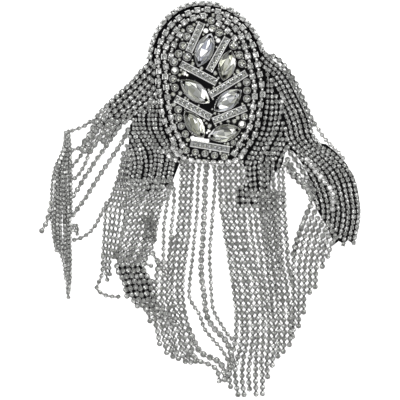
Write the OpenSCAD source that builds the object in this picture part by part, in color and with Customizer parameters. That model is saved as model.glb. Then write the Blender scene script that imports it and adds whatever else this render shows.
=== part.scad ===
// Shoulder ornament of crystal cup chain: a felt backing with a raised
// plaque of set stones, and a long fringe of chain that falls from it.
// It lies flat on its back, with the plaque's face up.

/* [Layout] */
// side of the square sheet of 400 squares that the layout is drawn on
sheet_side = 200; // [160:5:240]
// play between a piece and the one that it lies on
seat = 0.2; // [0.1:0.05:0.3]

/* [Felt and pad] */
// thickness of the felt backing
felt_thickness = 1.6; // [1:0.1:3]
// height of the pad's flat face above the felt
pad_height = 7.4; // [5:0.2:10]
// height of the pad's steep edge above the felt
pad_edge = 3; // [2:0.2:5]
// height above the felt at the middle of the pad's rounded shoulder
pad_shoulder = 6; // [4:0.2:8]

/* [Chain] */
// width of the large chain
large_chain = 2.6; // [2:0.1:3.2]
// width of the thin chain
thin_chain = 2; // [1.6:0.1:2.4]
// height of one layer of chain
chain_height = 2.2; // [1.6:0.1:2.8]
// depth of the groove between two strands of a lock
groove = 0.9; // [0.3:0.1:1.4]

/* [Pointed stones] */
// width of a pointed stone's plate
marquise_width = 8; // [6:0.2:9]
// thickness of a pointed stone's plate
plate_thickness = 1; // [0.6:0.1:1.6]
// height of a pointed stone
marquise_height = 2.8; // [2:0.1:3.4]
// thickness of a claw
claw = 0.7; // [0.5:0.1:1]
// radius of the sewing hole near each tip
sewing_hole = 0.7; // [0.4:0.1:1]

/* [Round stones] */
// height of a round stone's cup
cup_height = 1; // [0.7:0.1:1.5]
// wall thickness of a round stone's cup
cup_wall = 0.3; // [0.2:0.05:0.5]
// height of a round stone
round_height = 1.6; // [1.2:0.1:2]

/* [Bars] */
// width of a bar over its rails
bar_width = 3.6; // [3:0.2:5]
// thickness of a bar's floor
bar_floor = 0.8; // [0.5:0.1:1.2]
// height of the rails above the floor
rail_height = 1.5; // [1:0.1:2]
// thickness of a rail
rail = 0.6; // [0.4:0.1:0.9]
// spacing of the stones in a bar
bar_pitch = 2.5; // [2.2:0.1:3]
// diameter of a stone in a bar
bar_stone = 2.1; // [1.6:0.1:2.3]

/* [Hidden] */
squares = 400;
square = sheet_side / squares;
middle = [205, 80];
sides = 8;
felt_top = felt_thickness + seat;
pad_top = felt_top + pad_height;
face = pad_top + seat;

// columns of a strand's and a row's points: square across, square down, and lift,
// which is 1 on the felt and 0 on the ground
ACROSS = 0;
DOWN = 1;
LIFT = 2;

// felt backing, clockwise from the top of the plaque
felt_edge = [
    [205, 4], [214, 5], [224, 8], [234, 13], [243, 20], [251, 30], [257, 40],
    [260, 50], [266, 56], [275, 59], [283, 67], [292, 79], [300, 94],
    [306, 107], [311, 119], [313, 128], [313, 139], [317, 144], [326, 145],
    [335, 153], [345, 164], [352, 176], [356, 190], [358, 204], [358, 216],
    [356, 230], [353, 242], [345, 245], [336, 248], [328, 247], [320, 231],
    [312, 212], [307, 199], [308, 190], [301, 177], [293, 164], [288, 155],
    [287, 168], [271, 176], [270, 195], [262, 201], [252, 206], [236, 208],
    [237, 185], [239, 164], [180, 164], [171, 184], [163, 200], [158, 222],
    [154, 243], [143, 262], [143, 277], [152, 281], [150, 298], [138, 302],
    [128, 296], [122, 282], [118, 267], [126, 254], [141, 224], [142, 187],
    [127, 181.5], [119, 178], [124, 155], [128, 138], [131, 118], [122, 122],
    [113, 119], [105, 110], [113, 100], [127, 86], [139, 72], [148, 62],
    [151, 50], [155, 38], [161, 27], [169, 17], [180, 10], [192, 6]
];

// raised pad: distance of its wall and of its flat face from the middle,
// one pair every 15 degrees, from the right and upwards
WALL = 0;
FLAT = 1;
pad_step = 15;
pad_reach = [
    [58.5, 44], [57, 44], [60, 48], [63.5, 51], [67.5, 54], [70, 57],
    [72, 60], [70.5, 58], [67, 54], [62.5, 50], [58, 46], [50, 39],
    [49, 37], [49.5, 37], [53, 39], [59.5, 44], [69, 57], [80, 77],
    [80.5, 78], [83, 79], [84, 68], [74, 55], [66, 50], [61.5, 47]
];

// rows of chain on the plaque
rim_row = [
    [150, 57], [152, 46], [155.5, 36], [160.5, 27], [166.5, 19.5], [173, 13.5],
    [181, 8.5], [189, 5.5], [197, 4], [205, 3.5], [213, 4.5], [221, 6.5],
    [229, 9.5], [236, 14], [243, 19.5], [249, 26], [254, 33], [258, 40],
    [261, 47], [262.5, 54]
];
outer_row = [
    [173.2, 139.4], [168.4, 130.3], [165, 121], [162, 111], [161, 100], [159.5, 89],
    [158.5, 80], [159.5, 70], [158, 61], [158, 52], [161, 43], [165, 35],
    [170, 27.5], [177, 20.5], [185, 15.5], [194, 12], [203, 10.5], [212, 11],
    [221, 13.5], [230, 17.5], [237, 23], [243.5, 30], [248.5, 38], [252.5, 46],
    [255, 55], [257, 65], [259, 74], [261, 84], [262, 95], [260, 105],
    [258.5, 115], [257, 126], [253.5, 137], [247.5, 146], [244, 151], [240.5, 154.5]
];
inner_row_left = [
    [182.5, 145.5], [177.9, 135.3], [173.3, 126.8], [171.4, 118], [169, 108],
    [168, 98], [166.5, 88], [165.5, 78], [166.5, 69], [164.5, 60], [165, 52],
    [168, 44], [172, 36.5], [177, 30], [183, 24.5], [189, 20.5], [196, 18],
    [203, 17]
];
inner_row_right = [
    [218.3, 18.6], [225.3, 21.4], [232.5, 26.6], [238.6, 33], [242.4, 40.6], [244.8, 48.5],
    [247.6, 57], [249.5, 65], [251.5, 74], [253.5, 83], [254.5, 93], [253, 104],
    [252, 112], [250.5, 122], [247, 132], [241, 141], [237, 149]
];
short_row_left = [
    [171.3, 56.5], [172.5, 49], [176, 42], [180, 36]
];
short_row_right = [
    [218.3, 24.9], [224.4, 28.6], [229.9, 33.7], [234.9, 39.2]
];

// locks of chain: left end and right end of each station across the lock,
// lift, and how many layers of chain it is high
LEFT_ACROSS = 0;
LEFT_DOWN = 1;
RIGHT_ACROSS = 2;
RIGHT_DOWN = 3;
RISE = 4;
PILE = 5;
wing_rows_left_stations = [
    [149, 63, 155, 70, 1, 1], [141, 71, 154, 84, 1, 1], [131, 83, 154, 98, 1, 1.2],
    [120, 93, 143, 110, 1, 1.3], [109, 103, 131, 112, 1, 1.3],
    [99, 113, 121, 120, 1, 1.2], [93, 120, 114, 132, 0.8, 1.2],
    [87, 131, 106, 140, 0, 1.5], [83, 142, 98, 146, 0, 1.3],
    [79, 148, 91, 151, 0, 1.2]
];
outer_locks_left_stations = [
    [123, 152, 134, 154, 1, 1.2], [120, 165, 131, 168, 1, 1.2],
    [116, 179, 128, 182, 1, 1.2], [110, 195, 125, 197, 0, 1.4],
    [104, 210, 124, 211, 0, 1.4], [103, 220, 122, 222, 0, 1.3],
    [102, 238, 118, 240, 0, 1.2], [102, 256, 115, 258, 0, 1.1]
];
inner_locks_left_stations = [
    [148, 110, 157, 108, 1, 1.2], [134, 118, 161, 122, 1, 1.3],
    [129, 130, 165, 132, 1, 1.4], [127, 142, 169, 142, 1, 1.5],
    [135, 154, 178, 158, 1, 1.6], [132, 168, 173, 170, 1, 1.6],
    [129, 182, 171, 183, 1, 1.6], [126, 197, 165, 197, 1, 1.6],
    [125, 211, 160, 212, 1, 1.5], [123, 222, 158, 227, 1, 1.5],
    [119, 240, 154, 243, 1, 1.5], [116, 258, 148, 257, 1, 1.6],
    [118, 267, 143, 267, 1, 1.7], [122, 281, 151, 281, 1, 1.7],
    [128, 296, 151, 297, 1, 1.4],
    [136, 304, 144, 304, 1, 1.1]
];
lower_locks_left_stations = [
    [161, 247, 189, 246, 0, 1.1], [157, 262, 186, 262, 0, 1.2],
    [155, 278, 185, 279, 0, 1.4], [154, 296, 185, 297, 0, 1.5],
    [147, 309, 187, 311, 0, 1.6], [152, 321, 188.5, 322, 0, 1.6],
    [160, 335, 190, 336, 0, 1.6], [162, 347, 192.5, 347, 0, 1.5],
    [172, 356, 191, 355, 0, 1.3], [179.5, 365, 182.5, 364, 0, 1]
];
rows_right_stations = [
    [266, 59, 271, 57, 1, 1], [272, 70, 284, 70, 1, 1], [279, 82, 292, 80, 1, 1.1],
    [285, 97, 300, 95, 1, 1.2], [288, 112, 306, 108, 1, 1.2],
    [290, 127, 311, 120, 1, 1.2], [290, 141, 313, 135, 1, 1.2],
    [292, 152, 322, 147, 1, 1.2], [297, 162, 334, 154, 1, 1.2],
    [305, 175, 347, 167, 1, 1.2], [311, 188, 355, 181, 1, 1.2],
    [315, 201, 358, 196, 1, 1.2], [319, 211, 360, 211, 1, 1.2],
    [324, 222, 359, 226, 1, 1.1], [334, 243, 355, 243, 1, 1]
];
fringe_rows_right_stations = [
    [263, 62, 266, 64, 1, 1], [264.5, 74, 274, 76, 1, 1.2],
    [266, 88, 282, 92, 1, 1.3], [266, 102, 286, 108, 1, 1.4],
    [264, 116, 288, 122, 1, 1.5], [260, 131, 288, 136, 1, 1.6],
    [252, 147, 288, 150, 1, 1.6], [244.5, 161, 285, 165, 1, 1.6],
    [244, 174, 283, 175, 1, 1.6], [245, 190, 284, 190, 1, 1.6],
    [246, 209, 286, 208, 1, 1.6], [247, 219, 287, 220, 0, 1.8],
    [249, 237, 288, 237, 0, 1.6], [252, 252, 289.5, 252, 0, 1.6],
    [254, 268, 290, 268, 0, 1.7], [257, 284, 290, 284, 0, 1.7],
    [259, 300, 291, 300, 0, 1.7], [260, 316, 291, 316, 0, 1.6],
    [261, 332, 289, 332, 0, 1.5], [260, 348, 283, 348, 0, 1.4],
    [257, 364, 273, 364, 0, 1.3], [256, 378, 265, 378, 0, 1.2],
    [258, 396, 263, 396, 0, 1]
];
fringe_middle_stations = [
    [219, 163, 243, 163, 1, 1.1], [220, 180, 243, 180, 1, 1.1],
    [221.5, 198, 244, 198, 1, 1.1], [222, 210, 245, 210, 1, 1.1],
    [224, 220, 246, 220, 0, 1.3], [227, 237, 248, 237, 0, 1.2],
    [229, 252, 251, 252, 0, 1.2], [231, 268, 253, 268, 0, 1.3],
    [233, 284, 256, 284, 0, 1.3], [235, 300, 258, 300, 0, 1.3],
    [236, 316, 259, 316, 0, 1.3], [238, 332, 260, 332, 0, 1.4],
    [236, 348, 259, 348, 0, 1.6], [230, 362, 256, 362, 0, 1.6],
    [228, 376, 255, 376, 0, 1.4], [232, 388, 252, 390, 0, 1.1],
    [239, 397, 246, 398, 0, 1]
];
edge_strands_right_stations = [
    [286, 166, 292, 163, 1, 1], [289, 174, 295, 169, 1, 1],
    [294.5, 179.5, 300, 174.5, 1, 1], [300.5, 185, 306, 180.5, 1, 1],
    [306, 190.5, 309.5, 187.5, 1, 1]
];
fringe_fan_right_stations = [
    [309, 202, 330, 246, 1, 1.1], [303, 213, 326, 252, 0.9, 1.3],
    [298, 229, 322, 259, 0, 1.6], [294, 244, 317, 267, 0, 1.6],
    [292, 258, 312, 276, 0, 1.5], [291.5, 274, 312, 286, 0, 1.4],
    [291.5, 292, 309, 299, 0, 1.4], [292.5, 310, 303, 313, 0, 1.3],
    [292.5, 326, 299, 329, 0, 1.1], [291, 340, 294, 341, 0, 1]
];
tassel_far_left_stations = [
    [65, 144, 69, 144, 0, 1], [62, 153, 70.5, 153, 0, 1.3],
    [58, 163, 71, 163, 0, 1.6], [54, 175, 71, 175, 0, 1.8],
    [51, 190, 71.5, 190, 0, 1.9], [50, 205, 72, 205, 0, 2],
    [50, 218, 72, 218, 0, 2], [52, 235, 71, 234, 0, 1.9],
    [56, 246, 70, 245, 0, 1.7], [61, 253, 70.5, 253, 0, 1.5],
    [62, 263, 71, 263, 0, 1.5], [63, 278, 70, 279, 0, 1.3],
    [66, 289, 70, 290, 0, 1.1], [67, 298, 70, 298, 0, 1]
];

// single strands
far_strand_1 = [
    [90, 121.5, 0.8], [83, 126.5, 0], [76.5, 129, 0], [71, 131, 0], [67.5, 133.5, 0],
    [67, 143, 0]
];
far_strand_2 = [[82.5, 152.5, 0], [80, 156.5, 0], [77, 160.5, 0], [73.5, 165, 0]];
far_strand_3 = [
    [88.5, 154.5, 0], [87, 159, 0], [84, 165.5, 0], [80.5, 171.5, 0], [76, 177, 0],
    [73.7, 180, 0]
];
far_strand_4 = [
    [106.5, 144, 0], [101, 153.5, 0], [96.5, 159.5, 0], [92, 166, 0], [88, 172, 0],
    [84, 178, 0], [80.5, 184, 0], [77, 190, 0], [74.7, 194.5, 0]
];
far_strand_5 = [
    [121.5, 144.5, 0], [116.5, 150, 0], [112.5, 156, 0], [108.5, 162.5, 0],
    [104, 168.5, 0], [100, 174.5, 0], [96, 181, 0], [92, 187, 0], [88.5, 193, 0],
    [84.5, 199, 0], [80.5, 204.5, 0], [76.5, 210, 0], [75, 213, 0]
];
far_strand_6 = [
    [100.5, 215, 0], [98, 220.5, 0], [95, 225.5, 0], [91, 230.5, 0], [87, 234.5, 0],
    [82, 237.5, 0], [76.5, 239.5, 0], [73.5, 240, 0]
];
far_strand_7 = [[47.5, 210, 0], [46.5, 219, 0], [43.5, 227, 0], [38.5, 234, 0]];
curl_strand = [
    [102.8, 257, 0], [102.5, 265, 0], [102, 273, 0], [100, 279.5, 0], [97.5, 284.5, 0],
    [96.5, 289, 0], [101, 293, 0], [105.5, 295.5, 0], [110.5, 296.5, 0], [116, 297, 0],
    [121.5, 296.5, 0]
];
centre_thin_1 = [
    [168, 198, 0], [166.5, 206, 0], [165, 216, 0], [164, 225, 0], [163.5, 235, 0],
    [163.5, 244, 0]
];
centre_thin_2 = [
    [174.5, 187, 0], [174, 198, 0], [173.5, 209, 0], [172.5, 220, 0], [171, 232, 0],
    [170, 243.5, 0]
];
centre_thin_3 = [
    [187, 162.5, 1], [186.8, 166.5, 1], [186, 175, 0], [186, 190, 0], [186, 202, 0],
    [184.5, 213, 0], [182.5, 227, 0], [181, 243, 0]
];
centre_thin_4 = [
    [200, 162.5, 1], [199.5, 166.5, 1], [198.5, 177, 0], [197.5, 189, 0],
    [197.5, 201, 0], [197, 213, 0], [196, 225, 0], [194.5, 237, 0], [193, 250, 0],
    [192, 262, 0], [190.5, 274, 0], [189.5, 286, 0], [189.5, 297, 0], [192.5, 304, 0],
    [198, 312, 0], [201, 319, 0], [204, 328, 0], [209, 335, 0], [214, 341, 0],
    [219.5, 347, 0]
];
centre_thin_5 = [
    [213.5, 162.5, 1], [214, 166.5, 1], [215, 178, 0], [214.5, 192, 0],
    [213.5, 206, 0], [212, 221, 0], [211, 235, 0], [210, 248, 0], [209.5, 260, 0],
    [210.5, 272, 0], [211, 285, 0], [211.5, 298, 0], [213, 309, 0], [217, 318, 0],
    [222, 326, 0], [227, 333.5, 0], [232, 338.5, 0]
];
centre_large_1 = [
    [181, 162.5, 1], [180.8, 166.5, 1], [180.3, 178, 0], [180, 190, 0],
    [179.5, 206, 0], [177.5, 220, 0], [176, 232, 0], [175.5, 243, 0]
];
centre_large_2 = [
    [193.5, 162.5, 1], [193.3, 166.5, 1], [192.5, 179, 0], [191.5, 194, 0],
    [191, 208, 0], [189.5, 222, 0], [188, 234, 0], [187, 242.5, 0]
];
centre_large_3 = [
    [207, 162.5, 1], [206.5, 166.5, 1], [205.5, 178, 0], [205, 191, 0],
    [204.5, 206, 0], [204, 221, 0], [203, 235, 0], [202, 250, 0], [201, 264, 0],
    [202, 279, 0], [204, 293, 0], [205, 307, 0], [208, 319, 0], [213.5, 328, 0],
    [219.5, 334, 0], [225, 340, 0], [229, 346, 0]
];
swoop_large = [
    [193.5, 339, 0], [196.5, 346, 0], [200.5, 352, 0], [206, 356, 0], [212, 358.5, 0],
    [219, 362, 0], [223, 368, 0], [224.5, 375, 0], [225, 383, 0]
];
swoop_thin = [
    [196, 357, 0], [200, 361, 0], [206, 363.5, 0], [212, 366, 0], [217, 370, 0],
    [218.5, 375, 0], [219, 381, 0]
];

// pointed stones: the two tips of each plate
TIP_1 = 0;
TIP_2 = 1;
marquises = [
    [[211.2, 33.8], [197.8, 67.3]], [[231, 50.6], [223, 81.2]],
    [[180.5, 80.5], [209.4, 103.3]], [[214, 111.2], [241.5, 90.5]],
    [[184.9, 111.2], [203.9, 138.2]], [[207.6, 137.4], [240.9, 129.6]]
];
marquise_share = [1.12, 1.06, 1.14, 1.1, 1.04, 1.08];

// bars: the two ends of each centre line
bars = [
    [[202, 23.5], [188.8, 52.6]], [[227.3, 38.5], [208.8, 71.5]],
    [[180.8, 64.4], [216.5, 83.2]], [[246.3, 73.4], [209.8, 95.8]],
    [[175.3, 98.8], [210.8, 118]], [[246, 108.2], [212.8, 121.6]],
    [[190.5, 143.4], [229.5, 150]]
];

// round stones: square across, square down, and share of the full width
SHARE = 2;
full_round = 3.8;
rounds = [
    [190.3, 29.8, 1], [187, 37.3, 1], [183, 46.4, 1], [178.7, 54.4, 1],
    [187.2, 57.6, 1.1], [174, 62.6, 1.1], [175, 71.2, 1], [173, 79.5, 1],
    [175, 88.2, 1], [178.3, 110, 1], [178.7, 118.3, 1], [181.3, 126.4, 0.92],
    [185.4, 134.3, 0.95], [195.3, 152.4, 0.92], [205, 153.8, 0.92],
    [214.5, 155.4, 0.92], [224.2, 157, 0.92], [211, 21.5, 0.95],
    [212.3, 29.3, 0.95], [219.2, 33.4, 1], [233.5, 46, 1.15], [239.1, 55.6, 1],
    [241.8, 64.2, 1.05], [246.4, 82.8, 1], [246.8, 91, 1], [246.6, 99.2, 1],
    [244.2, 117, 0.92], [242, 124.8, 1], [233.2, 143, 0.72], [186.3, 150.6, 0.92],
    [218, 41.2, 0.7]
];

// a point of the layout sheet, from the middle of the plaque
function at(p) = [(p[ACROSS] - middle[0]) * square, (middle[1] - p[DOWN]) * square];

// unit direction of a path at one of its points
function heading(points, i) =
    let (
        a = points[max(i - 1, 0)],
        b = points[min(i + 1, len(points) - 1)],
        d = [b[0] - a[0], b[1] - a[1]]
    ) d / norm(d);

// distance of the pad's wall or flat face from the middle, in one direction
function reach(angle, column) =
    let (
        turn = (angle + 360) % 360 / pad_step,
        i = floor(turn),
        n = len(pad_reach),
        part = turn - i
    ) (pad_reach[i % n][column] * (1 - part) + pad_reach[(i + 1) % n][column] * part) * square;

// how far a point lies down the pad's rounded edge: 0 at the flat face, 1 at the wall
function down_edge(p) =
    let (
        angle = atan2(p[1], p[0]),
        flat_reach = reach(angle, FLAT),
        wall_reach = reach(angle, WALL)
    ) (norm(p) - flat_reach) / (wall_reach - flat_reach);

// height of the axis of a round chain that rests on the pad at a point
function on_pad(p, radius) =
    let (
        angle = atan2(p[1], p[0]),
        run = (reach(angle, WALL) - reach(angle, FLAT)) / 2,
        t = down_edge(p),
        fall = t <= 0 ? 0 : t < 0.5 ? pad_height - pad_shoulder : pad_shoulder - pad_edge,
        slope = atan(fall / run),
        top = t <= 0 ? pad_height
            : t < 0.5 ? pad_height - 2 * t * (pad_height - pad_shoulder)
            : pad_shoulder - (2 * min(t, 1) - 1) * (pad_shoulder - pad_edge)
    ) felt_top + top + (radius + seat) / cos(slope);

// side faces of a stack of closed rings, then its two ends
function ring_faces(rings, n) = [
    for (i = [0 : rings - 2], k = [0 : n - 1])
        let (a = i * n + k, b = i * n + (k + 1) % n)
            each [[a, a + n, b + n], [a, b + n, b]],
    [for (k = [0 : n - 1]) k],
    [for (k = [n - 1 : -1 : 0]) (rings - 1) * n + k]
];

// a round chain along points with the heights of its axis
module sweep(points, heights, radius) {
    rings = len(points);
    polyhedron(
        points = [
            for (i = [0 : rings - 1])
                let (d = heading(points, i))
                    for (k = [0 : sides - 1])
                        let (turn = 360 * (k + 0.5) / sides)
                            [
                                points[i][0] + radius * cos(turn) * d[1],
                                points[i][1] - radius * cos(turn) * d[0],
                                heights[i] + radius * sin(turn)
                            ]
        ],
        faces = ring_faces(rings, sides),
        convexity = 6
    );
}

// a strand that lies on the felt or on the ground
module strand(path, width) {
    radius = width / 2;
    points = [for (p = path) at(p)];
    rest = radius * cos(180 / sides);
    sweep(points, [for (p = path) p[LIFT] * felt_top + rest], radius);
}

// a row that is sewn on the pad
module pad_row(path, width) {
    points = [for (p = path) at(p)];
    sweep(points, [for (p = points) on_pad(p, width / 2)], width / 2);
}

// a lock of strands side by side, with a ridge for each strand
module lock(stations, strands) {
    across = 3 * strands + 2;
    rings = len(stations);
    tops = 2 * strands;
    polyhedron(
        points = [
            for (s = stations)
                let (
                    left = at([s[LEFT_ACROSS], s[LEFT_DOWN]]),
                    right = at([s[RIGHT_ACROSS], s[RIGHT_DOWN]]),
                    low = s[RISE] * felt_top,
                    high = low + s[PILE] * chain_height
                )
                    each concat(
                        [
                            for (j = [0 : tops])
                                let (
                                    p = left + (right - left) * j / tops,
                                    z = high - (j % 2 == 0 ? groove : 0)
                                ) [p[0], p[1], z]
                        ],
                        [
                            for (j = [strands : -1 : 0])
                                let (p = left + (right - left) * j / strands)
                                    [p[0], p[1], low]
                        ]
                    )
        ],
        faces = concat(
            [
                for (i = [0 : rings - 2], k = [0 : across - 1])
                    let (a = i * across + k, b = i * across + (k + 1) % across)
                        each [[a, b, b + across], [a, b + across, a + across]]
            ],
            [for (k = [0 : strands - 1]) each cap(0, k, strands, false)],
            [for (k = [0 : strands - 1]) each cap((rings - 1) * across, k, strands, true)]
        ),
        convexity = 10
    );
}

// the end face of one strand in a lock, as three triangles
function cap(first, k, strands, last) =
    let (
        a = first + 2 * k,
        low_left = first + 3 * strands + 1 - k,
        low_right = low_left - 1,
        set = [
            [a, low_left, a + 1], [a + 1, low_left, low_right],
            [a + 1, low_right, a + 2]
        ]
    ) [for (f = set) last ? [f[2], f[1], f[0]] : f];

// a cut stone: small base, wide girdle and flat table, each ring of points given
module cut_stone(base, girdle, table) {
    n = len(girdle);
    polyhedron(
        points = concat(base, girdle, table),
        faces = ring_faces_up(n),
        convexity = 4
    );
}

function ring_faces_up(n) = [
    for (i = [0 : 1], k = [0 : n - 1])
        let (a = i * n + k, b = i * n + (k + 1) % n)
            each [[a, b + n, b], [a, a + n, b + n]],
    [for (k = [0 : n - 1]) k],
    [for (k = [n - 1 : -1 : 0]) 2 * n + k]
];

function circle_ring(radius, z, turn, n) = [
    for (k = [0 : n - 1]) [
        radius * cos(360 * k / n + turn), radius * sin(360 * k / n + turn), z
    ]
];

// a pointed ring between two arcs
function arc_half(x, half_length, half_width) =
    let (r = (half_length * half_length + half_width * half_width) / (2 * half_width))
        sqrt(max(r * r - x * x, 0)) - (r - half_width);

function pointed_ring(half_length, half_width, z, n) = [
    for (k = [0 : n - 1])
        let (
            turn = 360 * k / n,
            x = half_length * cos(turn),
            y = arc_half(x, half_length, half_width),
            side = sin(turn)
        ) [x, abs(side) < 0.001 ? 0 : side > 0 ? y : -y, z]
];

module round_stone(i) {
    p = at(rounds[i]);
    radius = full_round / 2 * rounds[i][SHARE] - cup_wall;
    low = face + cup_height + 0.1 - round_height * 0.5;
    color("LightCyan")
        translate([p[0], p[1], low])
            cut_stone(
                circle_ring(radius * 0.3, 0, 0, sides),
                circle_ring(radius, round_height * 0.5, 0, sides),
                circle_ring(radius * 0.6, round_height, 180 / sides, sides)
            );
}

// the length, place and turn of a piece between two points of the sheet
function span(ends) = norm(at(ends[1]) - at(ends[0]));
function centre(ends) = (at(ends[0]) + at(ends[1])) / 2;
function turn_of(ends) =
    let (d = at(ends[1]) - at(ends[0])) atan2(d[1], d[0]);

module placed(ends) {
    c = centre(ends);
    translate([c[0], c[1], face])
        rotate([0, 0, turn_of(ends)])
            children();
}

module marquise(i) {
    half_length = span(marquises[i]) / 2 - 2.2;
    half_width = marquise_width * marquise_share[i] / 2 - 0.75;
    n = 12;
    color("Lavender")
        placed(marquises[i])
            translate([0, 0, plate_thickness + 0.1])
                cut_stone(
                    pointed_ring(half_length * 0.7, half_width * 0.6, 0, n),
                    pointed_ring(half_length, half_width, marquise_height * 0.4, n),
                    pointed_ring(half_length * 0.66, half_width * 0.5, marquise_height, n)
                );
}

module felt_backing() {
    color("DimGray")
        linear_extrude(felt_thickness)
            polygon([for (p = felt_edge) at(p)]);
}

function pad_ring(share, z) = [
    for (k = [0 : len(pad_reach) - 1])
        let (
            turn = k * pad_step,
            r = (pad_reach[k][FLAT] * (1 - share) + pad_reach[k][WALL] * share) * square
        ) [r * cos(turn), r * sin(turn), z]
];

module raised_pad() {
    n = len(pad_reach);
    color("DimGray")
        polyhedron(
            points = concat(
                pad_ring(1, felt_top),
                pad_ring(1, felt_top + pad_edge),
                pad_ring(0.5, felt_top + pad_shoulder),
                pad_ring(0, pad_top)
            ),
            faces = [
                for (i = [0 : 2], k = [0 : n - 1])
                    let (a = i * n + k, b = i * n + (k + 1) % n)
                        each [[a, b + n, b], [a, a + n, b + n]],
                [for (k = [0 : n - 1]) k],
                [for (k = [n - 1 : -1 : 0]) 3 * n + k]
            ],
            convexity = 4
        );
}

module rim_chain() {
    color("Silver")
        strand([for (p = rim_row) [p[0], p[1], 1]], large_chain);
}

module plaque_rows() {
    color("Silver") {
        pad_row(outer_row, large_chain);
        pad_row(inner_row_left, large_chain);
        pad_row(inner_row_right, large_chain);
        pad_row(short_row_left, large_chain);
        pad_row(short_row_right, large_chain);
    }
}

// a cup with a floor and four claws
module cup(radius) {
    difference() {
        cylinder(r = radius, h = cup_height, $fn = 40);
        translate([0, 0, cup_wall])
            cylinder(r = radius - cup_wall, h = cup_height, $fn = 40);
    }
    for (k = [0 : 3])
        rotate([0, 0, 45 + 90 * k])
            translate([radius - cup_wall + 0.1, -claw / 2, cup_height / 2])
                cube([cup_wall - 0.1, claw, cup_height / 2 + 0.5]);
}

module round_cups() {
    color("Silver")
        for (r = rounds)
            translate([at(r)[0], at(r)[1], face])
                cup(full_round / 2 * r[SHARE]);
}

// a pointed plate with a sewing hole and a claw at each tip, and claws at its sides
module marquise_plate(length, width) {
    half_length = length / 2;
    half_width = width / 2;
    arc = (half_length * half_length + half_width * half_width) / (2 * half_width);
    difference() {
        linear_extrude(plate_thickness)
            intersection() {
                translate([0, half_width - arc])
                    circle(r = arc, $fn = 200);
                translate([0, arc - half_width])
                    circle(r = arc, $fn = 200);
            }
        for (side = [-1, 1])
            translate([side * (half_length - 2), 0, -1])
                cylinder(r = min(sewing_hole, 0.1 * width), h = plate_thickness + 2, $fn = 24);
    }
    for (side = [-1, 1], along = [-1, 1])
        translate([
            along * half_length * 0.3 - claw / 2,
            side * (half_width - 0.4) - claw / 2,
            plate_thickness / 2
        ])
            cube([claw, claw, plate_thickness / 2 + marquise_height * 0.4]);
}

module marquise_cups() {
    color("Silver")
        for (i = [0 : len(marquises) - 1])
            placed(marquises[i])
                marquise_plate(span(marquises[i]), marquise_width * marquise_share[i]);
}

module bar_frames() {
    color("Silver")
        for (b = bars)
            placed(b) {
                length = span(b);
                translate([-length / 2, -bar_width / 2, 0])
                    cube([length, bar_width, bar_floor]);
                for (side = [-1, 1])
                    translate([-length / 2, side * (bar_width - rail) / 2 - rail / 2, 0])
                        cube([length, rail, bar_floor + rail_height]);
            }
}

module bar_stones() {
    radius = bar_stone / 2;
    high = rail_height * 0.9;
    color("LightCyan")
        for (b = bars) {
            count = floor((span(b) - bar_stone) / bar_pitch) + 1;
            placed(b)
                for (k = [0 : count - 1])
                    translate([(k - (count - 1) / 2) * bar_pitch, 0, bar_floor + 0.1])
                        cut_stone(
                            circle_ring(radius * 0.6, 0, 0, sides),
                            circle_ring(radius, high * 0.5, 0, sides),
                            circle_ring(radius * 0.6, high, 180 / sides, sides)
                        );
        }
}

module far_strands_left() {
    color("Silver") {
        strand(far_strand_1, thin_chain);
        strand(far_strand_2, thin_chain);
        strand(far_strand_3, thin_chain);
        strand(far_strand_4, large_chain);
        strand(far_strand_5, large_chain);
        strand(far_strand_6, thin_chain);
        strand(far_strand_7, thin_chain);
        strand(curl_strand, thin_chain);
    }
}

module centre_strands() {
    color("Silver") {
        strand(centre_thin_1, thin_chain);
        strand(centre_thin_2, thin_chain);
        strand(centre_thin_3, thin_chain);
        strand(centre_thin_4, thin_chain);
        strand(centre_thin_5, thin_chain);
        strand(centre_large_1, large_chain);
        strand(centre_large_2, large_chain);
        strand(centre_large_3, large_chain);
        strand(swoop_large, large_chain);
        strand(swoop_thin, thin_chain);
    }
}

module wing_rows_left() {
    color("Silver")
        lock(wing_rows_left_stations, 7);
}

module outer_locks_left() {
    color("Silver")
        lock(outer_locks_left_stations, 4);
}

module inner_locks_left() {
    color("Silver")
        lock(inner_locks_left_stations, 9);
}

module lower_locks_left() {
    color("Silver")
        lock(lower_locks_left_stations, 8);
}

module rows_right() {
    color("Silver")
        lock(rows_right_stations, 9);
}

module fringe_rows_right() {
    color("Silver")
        lock(fringe_rows_right_stations, 8);
}

module fringe_middle() {
    color("Silver")
        lock(fringe_middle_stations, 5);
}

module edge_strands_right() {
    color("Silver")
        lock(edge_strands_right_stations, 2);
}

module fringe_fan_right() {
    color("Silver")
        lock(fringe_fan_right_stations, 7);
}

module tassel_far_left() {
    color("Silver")
        lock(tassel_far_left_stations, 5);
}

module marquise_1() {
    marquise(0);
}

module marquise_2() {
    marquise(1);
}

module marquise_3() {
    marquise(2);
}

module marquise_4() {
    marquise(3);
}

module marquise_5() {
    marquise(4);
}

module marquise_6() {
    marquise(5);
}

module round_stone_1() {
    round_stone(0);
}

module round_stone_2() {
    round_stone(1);
}

module round_stone_3() {
    round_stone(2);
}

module round_stone_4() {
    round_stone(3);
}

module round_stone_5() {
    round_stone(4);
}

module round_stone_6() {
    round_stone(5);
}

module round_stone_7() {
    round_stone(6);
}

module round_stone_8() {
    round_stone(7);
}

module round_stone_9() {
    round_stone(8);
}

module round_stone_10() {
    round_stone(9);
}

module round_stone_11() {
    round_stone(10);
}

module round_stone_12() {
    round_stone(11);
}

module round_stone_13() {
    round_stone(12);
}

module round_stone_14() {
    round_stone(13);
}

module round_stone_15() {
    round_stone(14);
}

module round_stone_16() {
    round_stone(15);
}

module round_stone_17() {
    round_stone(16);
}

module round_stone_18() {
    round_stone(17);
}

module round_stone_19() {
    round_stone(18);
}

module round_stone_20() {
    round_stone(19);
}

module round_stone_21() {
    round_stone(20);
}

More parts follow.
